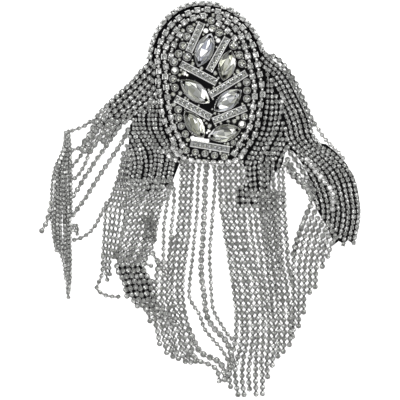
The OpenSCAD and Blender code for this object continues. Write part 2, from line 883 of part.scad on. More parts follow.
module round_stone_22() {
    round_stone(21);
}

module round_stone_23() {
    round_stone(22);
}

module round_stone_24() {
    round_stone(23);
}

module round_stone_25() {
    round_stone(24);
}

module round_stone_26() {
    round_stone(25);
}

module round_stone_27() {
    round_stone(26);
}

module round_stone_28() {
    round_stone(27);
}

module round_stone_29() {
    round_stone(28);
}

module round_stone_30() {
    round_stone(29);
}

module round_stone_31() {
    round_stone(30);
}

felt_backing();
raised_pad();
rim_chain();
plaque_rows();
round_cups();
marquise_cups();
bar_frames();
bar_stones();
wing_rows_left();
outer_locks_left();
inner_locks_left();
lower_locks_left();
rows_right();
fringe_rows_right();
fringe_middle();
edge_strands_right();
fringe_fan_right();
tassel_far_left();
far_strands_left();
centre_strands();
marquise_1();
marquise_2();
marquise_3();
marquise_4();
marquise_5();
marquise_6();
round_stone_1();
round_stone_2();
round_stone_3();
round_stone_4();
round_stone_5();
round_stone_6();
round_stone_7();
round_stone_8();
round_stone_9();
round_stone_10();
round_stone_11();
round_stone_12();
round_stone_13();
round_stone_14();
round_stone_15();
round_stone_16();
round_stone_17();
round_stone_18();
round_stone_19();
round_stone_20();
round_stone_21();
round_stone_22();
round_stone_23();
round_stone_24();
round_stone_25();
round_stone_26();
round_stone_27();
round_stone_28();
round_stone_29();
round_stone_30();
round_stone_31();
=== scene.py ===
import math
import random

import bmesh
import bpy
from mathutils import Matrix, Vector


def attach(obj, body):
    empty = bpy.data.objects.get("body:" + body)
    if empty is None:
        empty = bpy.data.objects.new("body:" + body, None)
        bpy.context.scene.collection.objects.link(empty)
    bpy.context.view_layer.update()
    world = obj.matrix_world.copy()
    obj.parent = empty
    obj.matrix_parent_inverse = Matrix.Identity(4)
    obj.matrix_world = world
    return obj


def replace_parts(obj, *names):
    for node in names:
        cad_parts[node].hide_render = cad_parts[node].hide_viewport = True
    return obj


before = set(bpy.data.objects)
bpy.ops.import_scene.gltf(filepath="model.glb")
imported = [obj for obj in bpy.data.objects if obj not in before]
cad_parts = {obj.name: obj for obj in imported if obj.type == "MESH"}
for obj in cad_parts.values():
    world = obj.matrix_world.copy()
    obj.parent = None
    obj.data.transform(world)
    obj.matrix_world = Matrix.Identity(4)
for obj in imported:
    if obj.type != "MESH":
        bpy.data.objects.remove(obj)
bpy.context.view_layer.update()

# The table: a pale sheet under plain soft studio light. The ornament lies on its
# back, and the camera looks straight down on it through a long lens.
SQUARE = 0.0005
MIDDLE = (205.0, 80.0)
SHEET_CENTRE = (200.0, 200.0)
SHEET_SQUARES = 400
TABLE_HALF = 1.5
TABLE_DROP = 0.0002
CAMERA_HEIGHT = 1.5
CAMERA_FOCUS_LEVEL = 0.003
SENSOR = 36
LAMP_SIZE = 0.5
# name, place and power of the lamps round the table
LAMPS = [
    ("lamp_left", (-0.95, 0.3, 0.75), 1.8), ("lamp_right", (1.0, 0.2, 0.7), 1.4),
    ("lamp_front", (0.1, -1.05, 0.7), 1.4), ("lamp_top", (0.15, 0.9, 0.8), 1.8),
]
OVERHEAD_HEIGHT = 1.9
OVERHEAD_SIZE = 0.4
OVERHEAD_POWER = 42


def at(across, down, height=0.0):
    """A point of the layout sheet, in metres from the middle of the plaque."""
    return Vector(((across - MIDDLE[0]) * SQUARE, (MIDDLE[1] - down) * SQUARE, height))


def feed(fed, inputs):
    """Sets a node's inputs, each to a plain value or to another node's output."""
    for key, value in inputs.items():
        if isinstance(value, bpy.types.NodeSocket):
            fed.id_data.links.new(value, fed.inputs[key])
        else:
            fed.inputs[key].default_value = value


def node(owner, kind, inputs=None, **settings):
    """Adds a node to a material, a world or a node group, and gives its outputs."""
    made = getattr(owner, "node_tree", owner).nodes.new(kind)
    for key, value in settings.items():
        setattr(made, key, value)
    feed(made, inputs or {})
    return made.outputs


def ramp(owner, value, *stops):
    """A colour for each value, between stops: (value, grey) or (value, red, green, blue)."""
    shades = node(owner, "ShaderNodeValToRGB", {"Fac": value})["Color"]
    elements = shades.node.color_ramp.elements
    elements.remove(elements[1])
    elements[0].position = stops[0][0]
    for stop in stops[1:]:
        elements.new(stop[0])
    for element, (_, *colour) in zip(elements, stops):
        element.color = (*(colour if len(colour) == 3 else colour * 3), 1)
    return shades


def new_material(name):
    material = bpy.data.materials.new(name)
    material.use_nodes = True
    return material


def finish(material, inputs):
    """Sets the inputs of a material's shader."""
    feed(material.node_tree.nodes["Principled BSDF"], inputs)


def new_object(name, data):
    made = bpy.data.objects.new(name, data)
    bpy.context.scene.collection.objects.link(made)
    return made


def mesh_piece(name, points, edges, faces, material=None):
    mesh = bpy.data.meshes.new(name)
    mesh.from_pydata([tuple(p) for p in points], edges, faces)
    mesh.validate()
    if material is not None:
        mesh.materials.append(material)
    return new_object(name, mesh)


def new_lamp(name, place, size, power):
    lamp_data = bpy.data.lights.new(name, "AREA")
    lamp_data.size, lamp_data.energy = size, power
    lamp = new_object(name, lamp_data)
    lamp.location = place
    return lamp


paper = new_material("white_paper")
paper_grain = node(paper, "ShaderNodeTexNoise", {"Scale": 900})["Fac"]
paper_bump = node(paper, "ShaderNodeBump", {"Strength": 0.05, "Height": paper_grain})["Normal"]
finish(paper, {
    "Base Color": (0.93, 0.93, 0.93, 1), "Roughness": 0.9, "Specular IOR Level": 0.1,
    "Normal": paper_bump,
})
corners = ((-1, -1), (1, -1), (1, 1), (-1, 1))
table = mesh_piece("table", [(TABLE_HALF * x, TABLE_HALF * y, -TABLE_DROP) for x, y in corners],
                   [], [(0, 1, 2, 3)], paper)

camera_data = bpy.data.cameras.new("camera")
camera_data.sensor_width = SENSOR
camera_data.lens = SENSOR * (CAMERA_HEIGHT - CAMERA_FOCUS_LEVEL) / (SHEET_SQUARES * SQUARE)
camera_data.clip_start, camera_data.clip_end = 0.01, 20
camera = new_object("camera", camera_data)
camera.location = at(*SHEET_CENTRE, CAMERA_HEIGHT)
bpy.context.scene.camera = camera

for lamp_name, place, power in LAMPS:
    lamp = new_lamp(lamp_name, place, LAMP_SIZE, power)
    aim = at(*SHEET_CENTRE) - Vector(place)
    lamp.rotation_euler = aim.to_track_quat("-Z", "Y").to_euler()
# the light from above keeps the paper white, and isn't mirrored in the stones
overhead = new_lamp("lamp_above", at(*SHEET_CENTRE, OVERHEAD_HEIGHT), OVERHEAD_SIZE, OVERHEAD_POWER)
overhead.visible_glossy = False

# the sky that the stones mirror is dark at the horizon, and the camera sees it pale
world = bpy.data.worlds.new("studio")
world.use_nodes = True
bpy.context.scene.world = world
sky_way = node(world, "ShaderNodeTexCoord")["Generated"]
sky_level = node(world, "ShaderNodeSeparateXYZ", {"Vector": sky_way})["Z"]
sky_colour = node(world, "ShaderNodeMix", {
    "Factor": node(world, "ShaderNodeLightPath")["Is Camera Ray"],
    "A": ramp(world, sky_level, (0.42, 0.07), (0.52, 0.42), (0.7, 0.7), (0.85, 0.7), (1, 0.6)),
    "B": (0.9, 0.9, 0.9, 1),
}, data_type="RGBA")["Result"]
feed(world.node_tree.nodes["Background"], {"Color": sky_colour})
bpy.context.scene.view_settings.view_transform = "Standard"


# The backing: dense black felt, cut to the outline of the plaque and its two
# bands. It lies on the table, and everything else is sewn to its face.
FELT_THICKNESS = 0.0016
FELT_EDGE = [
    (205, 4), (214, 5), (224, 8), (234, 13), (243, 20), (251, 30), (257, 40), (260, 50), (266, 56),
    (274, 60), (281, 68), (289, 80), (296.5, 95), (303, 108), (308, 119), (311, 128), (313, 139),
    (317, 143), (326, 144), (336, 152), (346, 163), (354, 176), (358, 190), (360, 204), (360, 216),
    (358, 230), (356, 239), (352, 243), (348, 240), (344, 244), (339, 241), (335, 244), (332, 238),
    (327, 226), (319, 213), (313, 200), (314, 191), (311, 181), (306, 170), (300, 160), (293, 151),
    (286, 149), (284, 158), (282, 167), (271, 176), (270, 195), (262, 201), (252, 206), (236, 208),
    (236, 193), (241, 186), (249, 182), (246, 174), (243, 163), (213, 162), (180, 162), (173, 180),
    (169, 193), (164, 184), (158, 197), (153, 187), (147, 194), (141, 182), (135, 189), (130, 179),
    (125, 176), (128, 155), (129, 138), (130, 125), (135, 118), (124, 122), (113, 119), (105, 110),
    (113, 100), (127, 86), (139, 72), (148, 62), (151, 50), (155, 38), (161, 27), (169, 17),
    (180, 10), (192, 6),
]
FELT_TAB = [
    (118, 266), (142, 262), (146, 272), (152, 281), (150, 297), (138, 301), (128, 296), (122, 282),
]

felt = new_material("black_felt")
felt_fibre = node(felt, "ShaderNodeTexNoise", {
    "Scale": 2600, "Detail": 6, "Vector": node(felt, "ShaderNodeTexCoord")["Object"],
})["Fac"]
finish(felt, {
    "Base Color": ramp(felt, felt_fibre, (0, 0.0006, 0.0006, 0.0007), (1, 0.006, 0.006, 0.0065)),
    "Roughness": 1.0, "Specular IOR Level": 0.05,
    "Normal": node(felt, "ShaderNodeBump", {
        "Strength": 0.6, "Distance": 0.0002, "Height": felt_fibre,
    })["Normal"],
})


def felt_piece(name, outline):
    """A flat piece of felt with the outline, laid on the table."""
    form = bmesh.new()
    face = form.faces.new([form.verts.new(at(*corner)) for corner in outline])
    raised = bmesh.ops.extrude_face_region(form, geom=[face])
    for corner in [v for v in raised["geom"] if isinstance(v, bmesh.types.BMVert)]:
        corner.co.z = FELT_THICKNESS
    bmesh.ops.triangulate(form, faces=form.faces[:])
    bmesh.ops.recalc_face_normals(form, faces=form.faces[:])
    mesh = bpy.data.meshes.new(name)
    form.to_mesh(mesh)
    form.free()
    mesh.materials.append(felt)
    piece = new_object(name, mesh)
    sides = zip(outline, outline[1:] + outline[:1])
    area = abs(sum(p[0] * q[1] - q[0] * p[1] for p, q in sides)) / 2 * SQUARE * SQUARE
    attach(piece, "root")
    return piece


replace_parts(felt_piece("felt_sheet", FELT_EDGE), "felt_backing")
felt_piece("felt_tab", FELT_TAB)


# The raised pad: the plaque's stuffed core under black felt, flat on its face
# with a rounded shoulder and a steep edge. It is sewn down round its edge.
SEAT = 0.0002
PAD_HEIGHT = 0.0074
PAD_EDGE = 0.003
PAD_SHOULDER = 0.006
PAD_STEP = 15
PAD_TURNS = 96
# how far the wall and the flat face reach, at each step of the angle
WALL, FLAT = 0, 1
PAD_REACH = [
    (58.5, 44), (57, 44), (60, 48), (63.5, 51), (67.5, 54), (70, 57), (72, 60), (70.5, 58),
    (67, 54), (62.5, 50), (58, 46), (50, 39), (49, 37), (49.5, 37), (53, 39), (59.5, 44), (69, 57),
    (80, 77), (80.5, 78), (83, 79), (84, 68), (74, 55), (66, 50), (61.5, 47),
]
FELT_TOP = FELT_THICKNESS + SEAT
FACE = FELT_TOP + PAD_HEIGHT + SEAT


def reach(angle, column):
    """How far the pad's wall or its flat face is from the middle."""
    turn = (math.degrees(angle) % 360) / PAD_STEP
    i = int(turn)
    part = turn - i
    near = PAD_REACH[i % len(PAD_REACH)][column]
    far = PAD_REACH[(i + 1) % len(PAD_REACH)][column]
    return (near * (1 - part) + far * part) * SQUARE


def pad_profile(share):
    """Height of the pad above the felt, from its flat face (0) to its wall (1)."""
    if share <= 0:
        return PAD_HEIGHT
    if share < 0.5:
        return PAD_HEIGHT - 2 * share * (PAD_HEIGHT - PAD_SHOULDER)
    return PAD_SHOULDER - (2 * min(share, 1) - 1) * (PAD_SHOULDER - PAD_EDGE)


def pad_share(place):
    """Where a place is between the pad's flat face (0) and its wall (1)."""
    angle = math.atan2(place.y, place.x)
    flat_reach = reach(angle, FLAT)
    return (place.xy.length - flat_reach) / (reach(angle, WALL) - flat_reach)


pad_rings = [(1.0, PAD_EDGE * part) for part in (0.0, 0.5, 1.0)]
pad_rings += [(part, pad_profile(part)) for part in (0.9, 0.75, 0.6, 0.5, 0.35, 0.2, 0.1, 0.0)]
pad_points = []
for share, level in pad_rings:
    for k in range(PAD_TURNS):
        angle = 2 * math.pi * k / PAD_TURNS
        r = reach(angle, FLAT) * (1 - share) + reach(angle, WALL) * share
        pad_points.append((r * math.cos(angle), r * math.sin(angle), FELT_TOP + level))
pad_points.append((0, 0, FELT_TOP + PAD_HEIGHT))
pad_faces = []
for i in range(len(pad_rings)):
    for k in range(PAD_TURNS):
        a, b = i * PAD_TURNS + k, i * PAD_TURNS + (k + 1) % PAD_TURNS
        if i < len(pad_rings) - 1:
            pad_faces.append((a, b, b + PAD_TURNS, a + PAD_TURNS))
        else:
            pad_faces.append((a, b, len(pad_points) - 1))
pad_faces.append(tuple(range(PAD_TURNS - 1, -1, -1)))
pad = mesh_piece("stuffed_pad", pad_points, [], pad_faces, felt)
for polygon in pad.data.polygons:
    polygon.use_smooth = len(polygon.vertices) < 5
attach(pad, "root")
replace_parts(pad, "raised_pad")


# Rows of cup chain sewn on the plaque: square crystals in four-clawed cups with
# a bright bead between each two. The outermost row stands on the pad's wall.
ROW_WIDTH = 0.0030
PLAQUE_CUP_WIDTH = ROW_WIDTH * 1.06
BEAD_PITCH = 0.005
BEAD_SIZE = 0.3
CUP_FOOT = 0.2
ROW_STEP = 0.0015
ROW_LEAN = 0.15
RIM_LIFT = 0.0018
RIM_PITCH = 0.0037
RIM_OUT, RIM_UP = 0.5, 0.85
SQUARE_CUP = {"sides": 4, "corner": 0.66}
RIM_ROW = [
    (150, 57), (152, 46), (155.5, 36), (160.5, 27), (166.5, 19.5), (173, 13.5), (181, 8.5),
    (189, 5.5), (197, 4), (205, 3.5), (213, 4.5), (221, 6.5), (229, 9.5), (236, 14), (243, 19.5),
    (249, 26), (254, 33), (258, 40), (261, 47), (262.5, 54),
]
OUTER_ROW = [
    (173.2, 139.4), (168.4, 130.3), (165, 121), (162, 111), (161, 100), (159.5, 89), (158.5, 80),
    (159.5, 70), (158, 61), (158, 52), (161, 43), (165, 35), (170, 27.5), (177, 20.5), (185, 15.5),
    (194, 12), (203, 10.5), (212, 11), (221, 13.5), (230, 17.5), (237, 23), (243.5, 30),
    (248.5, 38), (252.5, 46), (255, 55), (257, 65), (259, 74), (261, 84), (262, 95), (260, 105),
    (258.5, 115), (257, 126), (253.5, 137), (247.5, 146), (244, 151), (240.5, 154.5),
]
INNER_ROW_LEFT = [
    (182.5, 145.5), (177.9, 135.3), (173.3, 126.8), (171.4, 118), (169, 108), (168, 98),
    (166.5, 88), (165.5, 78), (166.5, 69), (164.5, 60), (165, 52), (168, 44), (172, 36.5),
    (177, 30), (183, 24.5), (189, 20.5), (196, 18), (203, 17),
]
INNER_ROW_RIGHT = [
    (218.3, 18.6), (225.3, 21.4), (232.5, 26.6), (238.6, 33), (242.4, 40.6), (244.8, 48.5),
    (247.6, 57), (249.5, 65), (251.5, 74), (253.5, 83), (254.5, 93), (253, 104), (252, 112),
    (250.5, 122), (247, 132), (241, 141), (237, 149), (234, 153.5),
]
SHORT_ROW_LEFT = [(171.3, 56.5), (172.5, 49), (176, 42), (180, 36)]
SHORT_ROW_RIGHT = [(218.3, 24.9), (224.4, 28.6), (229.9, 33.7), (234.9, 39.2)]
FOOT_ROW = [(174.5, 144), (178.5, 150), (183.5, 155)]

silver = new_material("silver_plate")
silver_tone = node(silver, "ShaderNodeAttribute", attribute_name="tone")["Fac"]
silver_wear = node(silver, "ShaderNodeTexNoise", {
    "Scale": 700, "Vector": node(silver, "ShaderNodeTexCoord")["Object"],
})["Fac"]
finish(silver, {
    "Metallic": 1.0,
    # painted shade: the shade attribute darkens the low sides of cups and links towards dark grey
    "Base Color": node(silver, "ShaderNodeMix", {
        "Factor": node(silver, "ShaderNodeAttribute", attribute_name="shade")["Fac"],
        "A": ramp(silver, silver_tone, (0, 0.46, 0.46, 0.45), (1, 0.86, 0.86, 0.84)),
        "B": (0.2, 0.2, 0.2, 1),
    }, data_type="RGBA")["Result"],
    "Roughness": node(silver, "ShaderNodeMapRange", {
        "Value": silver_wear, "To Min": 0.12, "To Max": 0.3,
    })["Result"],
    # painted glint: the palest faces, the bars' rails, glow with light of their own
    "Emission Color": ramp(silver, silver_tone, (0.97, 0), (1, 0.4)),
    "Emission Strength": 1.0,
})

crystal = new_material("foiled_crystal")
crystal_tone = node(crystal, "ShaderNodeAttribute", attribute_name="tone")["Fac"]
crystal_tint = node(crystal, "ShaderNodeMapRange", {
    "Value": node(crystal, "ShaderNodeAttribute", attribute_name="tint")["Fac"], "From Min": -1.0,
})["Result"]
finish(crystal, {
    "Metallic": 0.9, "Roughness": 0.07, "IOR": 1.6,
    "Base Color": node(crystal, "ShaderNodeMix", {
        "Factor": 1.0,
        "A": ramp(crystal, crystal_tone, (0, 0.07), (0.3, 0.36, 0.37, 0.35),
                  (0.7, 0.68, 0.69, 0.68), (1, 1)),
        "B": ramp(crystal, crystal_tint, (0, 0.78, 0.8, 1), (0.5, 1, 1, 0.99),
                  (1, 0.86, 0.86, 0.66)),
    }, data_type="RGBA", blend_type="MULTIPLY")["Result"],
    # painted glint: the palest facets glow with light of their own, in place of the light that
    # their foil throws back
    "Emission Color": ramp(crystal, crystal_tone, (0.95, 0), (1, 0.6)),
    "Emission Strength": 1.0,
})
FINISHES = {"felt": felt, "silver": silver, "crystal": crystal}


def chain_tree():
    """Cups along every strand, with a link or a bead between each two."""
    tree = bpy.data.node_groups.new("cup_chain", "GeometryNodeTree")
    face = tree.interface
    for name, kind in (
        ("Geometry", "Geometry"), ("Beads", "Bool"), ("Bead Size", "Float"), ("Sides", "Int"),
        ("Corner", "Float"), ("Rock", "Float"), ("Stones", "Bool"), ("Dull", "Float"),
        ("Bright", "Float"), ("Shade", "Float"), ("Seed", "Int"), ("Finish", "Material"),
    ):
        face.new_socket(name=name, in_out="INPUT", socket_type=f"NodeSocket{kind}")
    face.new_socket(name="Geometry", in_out="OUTPUT", socket_type="NodeSocketGeometry")

    def add(kind, inputs=None, **settings):
        return node(tree, kind, inputs, **settings)

    def named(name, kind="FLOAT"):
        return add("GeometryNodeInputNamedAttribute", {"Name": name}, data_type=kind)["Attribute"]

    def times(value, factor):
        return add("ShaderNodeMath", {0: value, 1: factor}, operation="MULTIPLY")[0]

    def cone(sides, top, bottom, depth, place=(0, 0, 0), turn=(0, 0, 0)):
        shape = add("GeometryNodeMeshCone", {
            "Vertices": sides, "Radius Top": top, "Radius Bottom": bottom, "Depth": depth,
        }, fill_type="NGON")
        return add("GeometryNodeTransform", {
            "Geometry": shape["Mesh"], "Translation": place, "Rotation": turn,
        })["Geometry"]

    def together(*parts):
        joined = tree.nodes.new("GeometryNodeJoinGeometry")
        for part in parts:
            feed(joined, {"Geometry": part})
        return joined.outputs["Geometry"]

    def kept(part, name, value, domain):
        return add("GeometryNodeStoreNamedAttribute", {
            "Geometry": part, "Name": name, "Value": value,
        }, data_type="FLOAT", domain=domain)["Geometry"]

    def realized(part):
        return add("GeometryNodeRealizeInstances", {"Geometry": part})["Geometry"]

    def shaded(part):
        """Painted shade: dark low down and at the sides of a cup or link, and bright on top."""
        place = add("GeometryNodeInputPosition")["Position"]
        level = add("ShaderNodeSeparateXYZ", {"Vector": place})["Z"]
        depth = add("ShaderNodeMapRange", {
            "Value": level, "From Min": 0.3, "From Max": 0.2, "To Max": given["Shade"],
        })
        return kept(realized(part), "shade", depth["Result"], "POINT")

    def chosen(switch, ways):
        return add("GeometryNodeSwitch", {
            "Switch": switch, **ways,
        }, input_type="GEOMETRY")["Output"]

    def set_along(places, part, **more):
        return add("GeometryNodeInstanceOnPoints", {
            "Points": places, "Instance": part, **more,
        })["Instances"]

    given = add("NodeGroupInput")
    path = add("GeometryNodeMeshToCurve", {"Mesh": given["Geometry"]})
    spaced = add("GeometryNodeResampleCurve", {
        "Curve": path["Curve"], "Length": times(named("pitch"), 0.5),
    }, mode="LENGTH")["Curve"]
    count = add("GeometryNodeSplineParameter")["Index"]
    odd = add("ShaderNodeMath", {0: count, 1: 2}, operation="MODULO")[0]
    even = add("FunctionNodeBooleanMath", {0: odd}, operation="NOT")[0]

    # every cup faces up from its strand, and rocks a little
    turned = add("FunctionNodeAxesToRotation", {
        "Primary Axis": named("up", "FLOAT_VECTOR"),
        "Secondary Axis": add("GeometryNodeInputTangent")["Tangent"],
    }, primary_axis="Z", secondary_axis="X")["Rotation"]
    rock = add("FunctionNodeRandomValue", {
        "Min": times(given["Rock"], -1), "Max": given["Rock"], "Seed": given["Seed"],
    }, data_type="FLOAT_VECTOR")
    leaned = add("FunctionNodeRotateRotation", {
        "Rotation": turned,
        "Rotate By": add("FunctionNodeEulerToRotation", {"Euler": rock["Value"]})["Rotation"],
    }, rotation_space="LOCAL")["Rotation"]

    # a square cup with a bevelled lip and four claws, one unit wide
    def wall(top, bottom, depth, level):
        return cone(given["Sides"], times(given["Corner"], top), times(given["Corner"], bottom),
                    depth, (0, 0, level), (0, 0, math.radians(45)))

    claw_places = add("GeometryNodeMeshGrid", {
        "Size X": 0.7, "Size Y": 0.7, "Vertices X": 2, "Vertices Y": 2,
    })["Mesh"]
    claws = set_along(claw_places, cone(5, 0.05, 0.09, 0.34))
    cup = together(wall(1, 0.92, 0.4, -0.2), wall(0.78, 1, 0.09, 0.2), claws)
    # a stone with a table and eight crown facets
    stone = cone(8, 0.22, 0.41, 0.11, (0, 0, 0.255))
    cells = set_along(spaced, chosen(given["Stones"], {"False": shaded(cup), "True": stone}),
                      Selection=even, Rotation=leaned, Scale=named("width"))

    # a link between two cups, or a bright bead
    bead = add("GeometryNodeMeshIcoSphere", {"Subdivisions": 2, "Radius": given["Bead Size"]})
    link = cone(6, 0.23, 0.23, 0.64, (-0.32, 0, -0.02), (0, math.radians(90), 0))
    ends = add("GeometryNodeCurveEndpointSelection", {"Start Size": 1, "End Size": 1})
    inner = add("FunctionNodeBooleanMath", {0: odd, 1: ends["Selection"]}, operation="NIMPLY")[0]
    joint = together(shaded(link), chosen(given["Beads"], {"True": bead["Mesh"]}))
    links = set_along(spaced, joint, Selection=inner, Rotation=turned, Scale=named("width"))

    # one tone for each cup, link and stone
    tone = add("FunctionNodeRandomValue", {
        2: given["Dull"], 3: given["Bright"], "Seed": given["Seed"],
    }, data_type="FLOAT")[1]
    chain = together(cells, chosen(given["Stones"], {"False": links}))
    toned = kept(chain, "tone", tone, "INSTANCE")
    finished = add("GeometryNodeSetMaterial", {
        "Geometry": realized(toned), "Material": given["Finish"],
    })
    add("NodeGroupOutput", {"Geometry": finished["Geometry"]})
    return tree


CHAIN = chain_tree()


def grown(piece, tree, inputs):
    """The plain mesh that a tree makes of a piece, in the piece's place."""
    modifier = piece.modifiers.new("shape", "NODES")
    modifier.node_group = tree
    for socket in tree.interface.items_tree:
        if socket.in_out == "INPUT" and socket.name in inputs:
            modifier[socket.identifier] = inputs[socket.name]
    bpy.context.view_layer.update()
    graph = bpy.context.evaluated_depsgraph_get()
    made = bpy.data.meshes.new_from_object(piece.evaluated_get(graph))
    made.name = piece.name
    piece.modifiers.clear()
    old = piece.data
    piece.data = made
    bpy.data.meshes.remove(old)


def smooth_path(points, step):
    """A smooth line through the points, with a point at about each step."""
    out = []
    for i in range(len(points) - 1):
        p0 = points[max(i - 1, 0)]
        p1, p2 = points[i], points[i + 1]
        p3 = points[min(i + 2, len(points) - 1)]
        pieces = max(1, round((p2 - p1).length / step))
        for k in range(pieces):
            t = k / pieces
            out.append(0.5 * (
                2 * p1 + (p2 - p0) * t + (2 * p0 - 5 * p1 + 4 * p2 - p3) * t * t
                + (3 * p1 - p0 - 3 * p2 + p3) * t * t * t
            ))
    out.append(points[-1].copy())
    return out


def chain_pieces(name, strands, seed, *nodes, rock=0.1, bead=0.0, sides=8, corner=0.54,
                 tones=(0.25, 0.7), shade=1.0):
    """Cups and stones for a group of strands: (points, width, pitch, ups)."""
    points, edges, widths, pitches, ups = [], [], [], [], []
    for line, width, pitch, tops in strands:
        start = len(points)
        points += line
        edges += [(start + i, start + i + 1) for i in range(len(line) - 1)]
        widths += [width] * len(line)
        pitches += [pitch] * len(line)
        ups += tops
    for part, slot in (("cups", "silver"), ("stones", "crystal")):
        piece = mesh_piece(f"{name}_{part}", points, edges, [])
        for key, kind, field, values in (
            ("width", "FLOAT", "value", widths), ("pitch", "FLOAT", "value", pitches),
            ("up", "FLOAT_VECTOR", "vector", [c for v in ups for c in v]),
        ):
            piece.data.attributes.new(key, kind, "POINT").data.foreach_set(field, values)
        grown(piece, CHAIN, {
            "Beads": bead > 0, "Bead Size": bead, "Sides": sides, "Corner": corner,
            "Rock": rock, "Stones": part == "stones", "Seed": seed, "Finish": FINISHES[slot],
            "Dull": tones[0], "Bright": tones[1], "Shade": shade,
        })
        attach(piece, "root")
        if part == "cups":
            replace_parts(piece, *nodes)


def pad_strand(row):
    """A row on the pad, with the direction that each of its stones faces."""
    line = smooth_path([at(*spot) for spot in row], ROW_STEP)
    ups = []
    for p in line:
        share = pad_share(p)
        angle = math.atan2(p.y, p.x)
        run = (reach(angle, WALL) - reach(angle, FLAT)) / 2
        fall = 0 if share <= 0 else PAD_SHOULDER - PAD_EDGE
        if 0 < share < 0.5:
            fall = PAD_HEIGHT - PAD_SHOULDER
        slope = math.atan(fall / run)
        out = p.xy.normalized()
        p.z = FELT_TOP + pad_profile(share) + (ROW_WIDTH * CUP_FOOT + SEAT) / math.cos(slope)
        lean = slope * ROW_LEAN
        ups.append(Vector((out.x * math.sin(lean), out.y * math.sin(lean), math.cos(lean))))
    return line, PLAQUE_CUP_WIDTH, BEAD_PITCH, ups


plaque_strands = [pad_strand(row) for row in (
    OUTER_ROW, INNER_ROW_LEFT, INNER_ROW_RIGHT, SHORT_ROW_LEFT, SHORT_ROW_RIGHT, FOOT_ROW,
)]
chain_pieces("plaque_rows", plaque_strands, 3, "plaque_rows", bead=BEAD_SIZE, tones=(0.45, 0.95),
             shade=0.3, **SQUARE_CUP)

rim_line = smooth_path([at(*spot, FELT_TOP + RIM_LIFT) for spot in RIM_ROW], ROW_STEP)
rim_ups = [Vector((*(p.xy.normalized() * RIM_OUT), RIM_UP)) for p in rim_line]
chain_pieces("rim_row", [(rim_line, ROW_WIDTH, RIM_PITCH, rim_ups)], 4, "rim_chain", rock=0.12,
             tones=(0.4, 0.85), shade=0.3, **SQUARE_CUP)


# Rows on the left wing and the right band: cup chain sewn side by side on the
# felt. The rows follow the outer edge, and new ones begin as the band widens.
fall_rng = random.Random(11)
ANY_PHASE = 6.28
ROLL_SLOW, ROLL_QUICK = 0.21, 0.47
# a strand is left out where its share of the fall's width would be more than this
ROOM = 1.03
STAGGER = 0.0005
LAYER = 0.0012
LAYER_SHORTER = 4
# width and pitch of each chain
LARGE = (0.0026, 0.0036)
THIN = (0.00215, 0.00305)
WING_ROW = (0.0025, 0.0034)
FELT_ROW = (0.00208, 0.0027)
FALL = (0.00263, 0.00315)
DOUBLE = (0.0031, 0.0036)
# stations of a fall: left edge, right edge, down, drop of the right edge, felts under it;
# what is left out at the end is 0
WING_LEFT = [
    (150, 162, 60, 11, 1), (140, 162, 69, 17, 1), (130, 158, 81, 19, 1), (119, 146, 91, 23, 1),
    (108, 134, 101, 15, 1), (98, 122, 111, 13, 1), (91, 114, 120, 14, 1),
]
RIGHT_BAND = [
    (256, 266, 61, -10, 1), (261, 272, 66, -8, 1), (267, 284, 75, -7, 1), (273, 293, 85, -5, 1),
    (277, 300, 98, -4, 1), (281, 307, 113, -5, 1), (285, 312, 128, -7, 1), (286, 315, 141, -7, 1),
    (290, 324, 151, -5, 1), (295, 335, 161, -8, 1), (303, 348, 174, -8, 1), (309, 356, 187, -7, 1),
    (314, 359, 200, -4, 1), (317, 361, 211, 0, 1), (320, 360, 222, 4, 1), (323, 358, 233, 2, 1),
    (330, 356, 246, 0, 1),
]


def up(height):
    return Vector((0, 0, height))


def left_of(way):
    return Vector((-way.y, way.x, 0))


def laid(points, kind, roll=0.12, step=0.0012, even=False, rng=fall_rng):
    """A chain that lies loose: it rolls to and fro as it goes along."""
    width, pitch = kind
    line = smooth_path(points, step)
    if even:
        # the first cup is moved so that the cups of neighbours stand nearly level
        level = math.floor((line[0].y - rng.uniform(0, 0.2) * pitch) / pitch) * pitch
        while len(line) > 2 and line[1].y > level:
            line = line[1:]
        share = min(max((line[0].y - level) / max(line[0].y - line[1].y, 1e-6), 0), 1)
        line = [line[0].lerp(line[1], share)] + line[1:]
    elif len(line) > 8:
        line = line[rng.randrange(3):]
    first, second = rng.uniform(0, ANY_PHASE), rng.uniform(0, ANY_PHASE)
    ups = []
    for i, p in enumerate(line):
        way = (line[min(i + 1, len(line) - 1)] - line[max(i - 1, 0)]).normalized()
        side = left_of(way)
        side = side.normalized() if side.length > 0.01 else Vector((1, 0, 0))
        turn = roll * (math.sin(first + i * ROLL_SLOW) + 0.8 * math.sin(second + i * ROLL_QUICK))
        ups.append(up(math.cos(turn)) + side * math.sin(turn))
        p.z += width * (CUP_FOOT + 0.5 * abs(math.sin(turn)))
    return line, width, pitch, ups


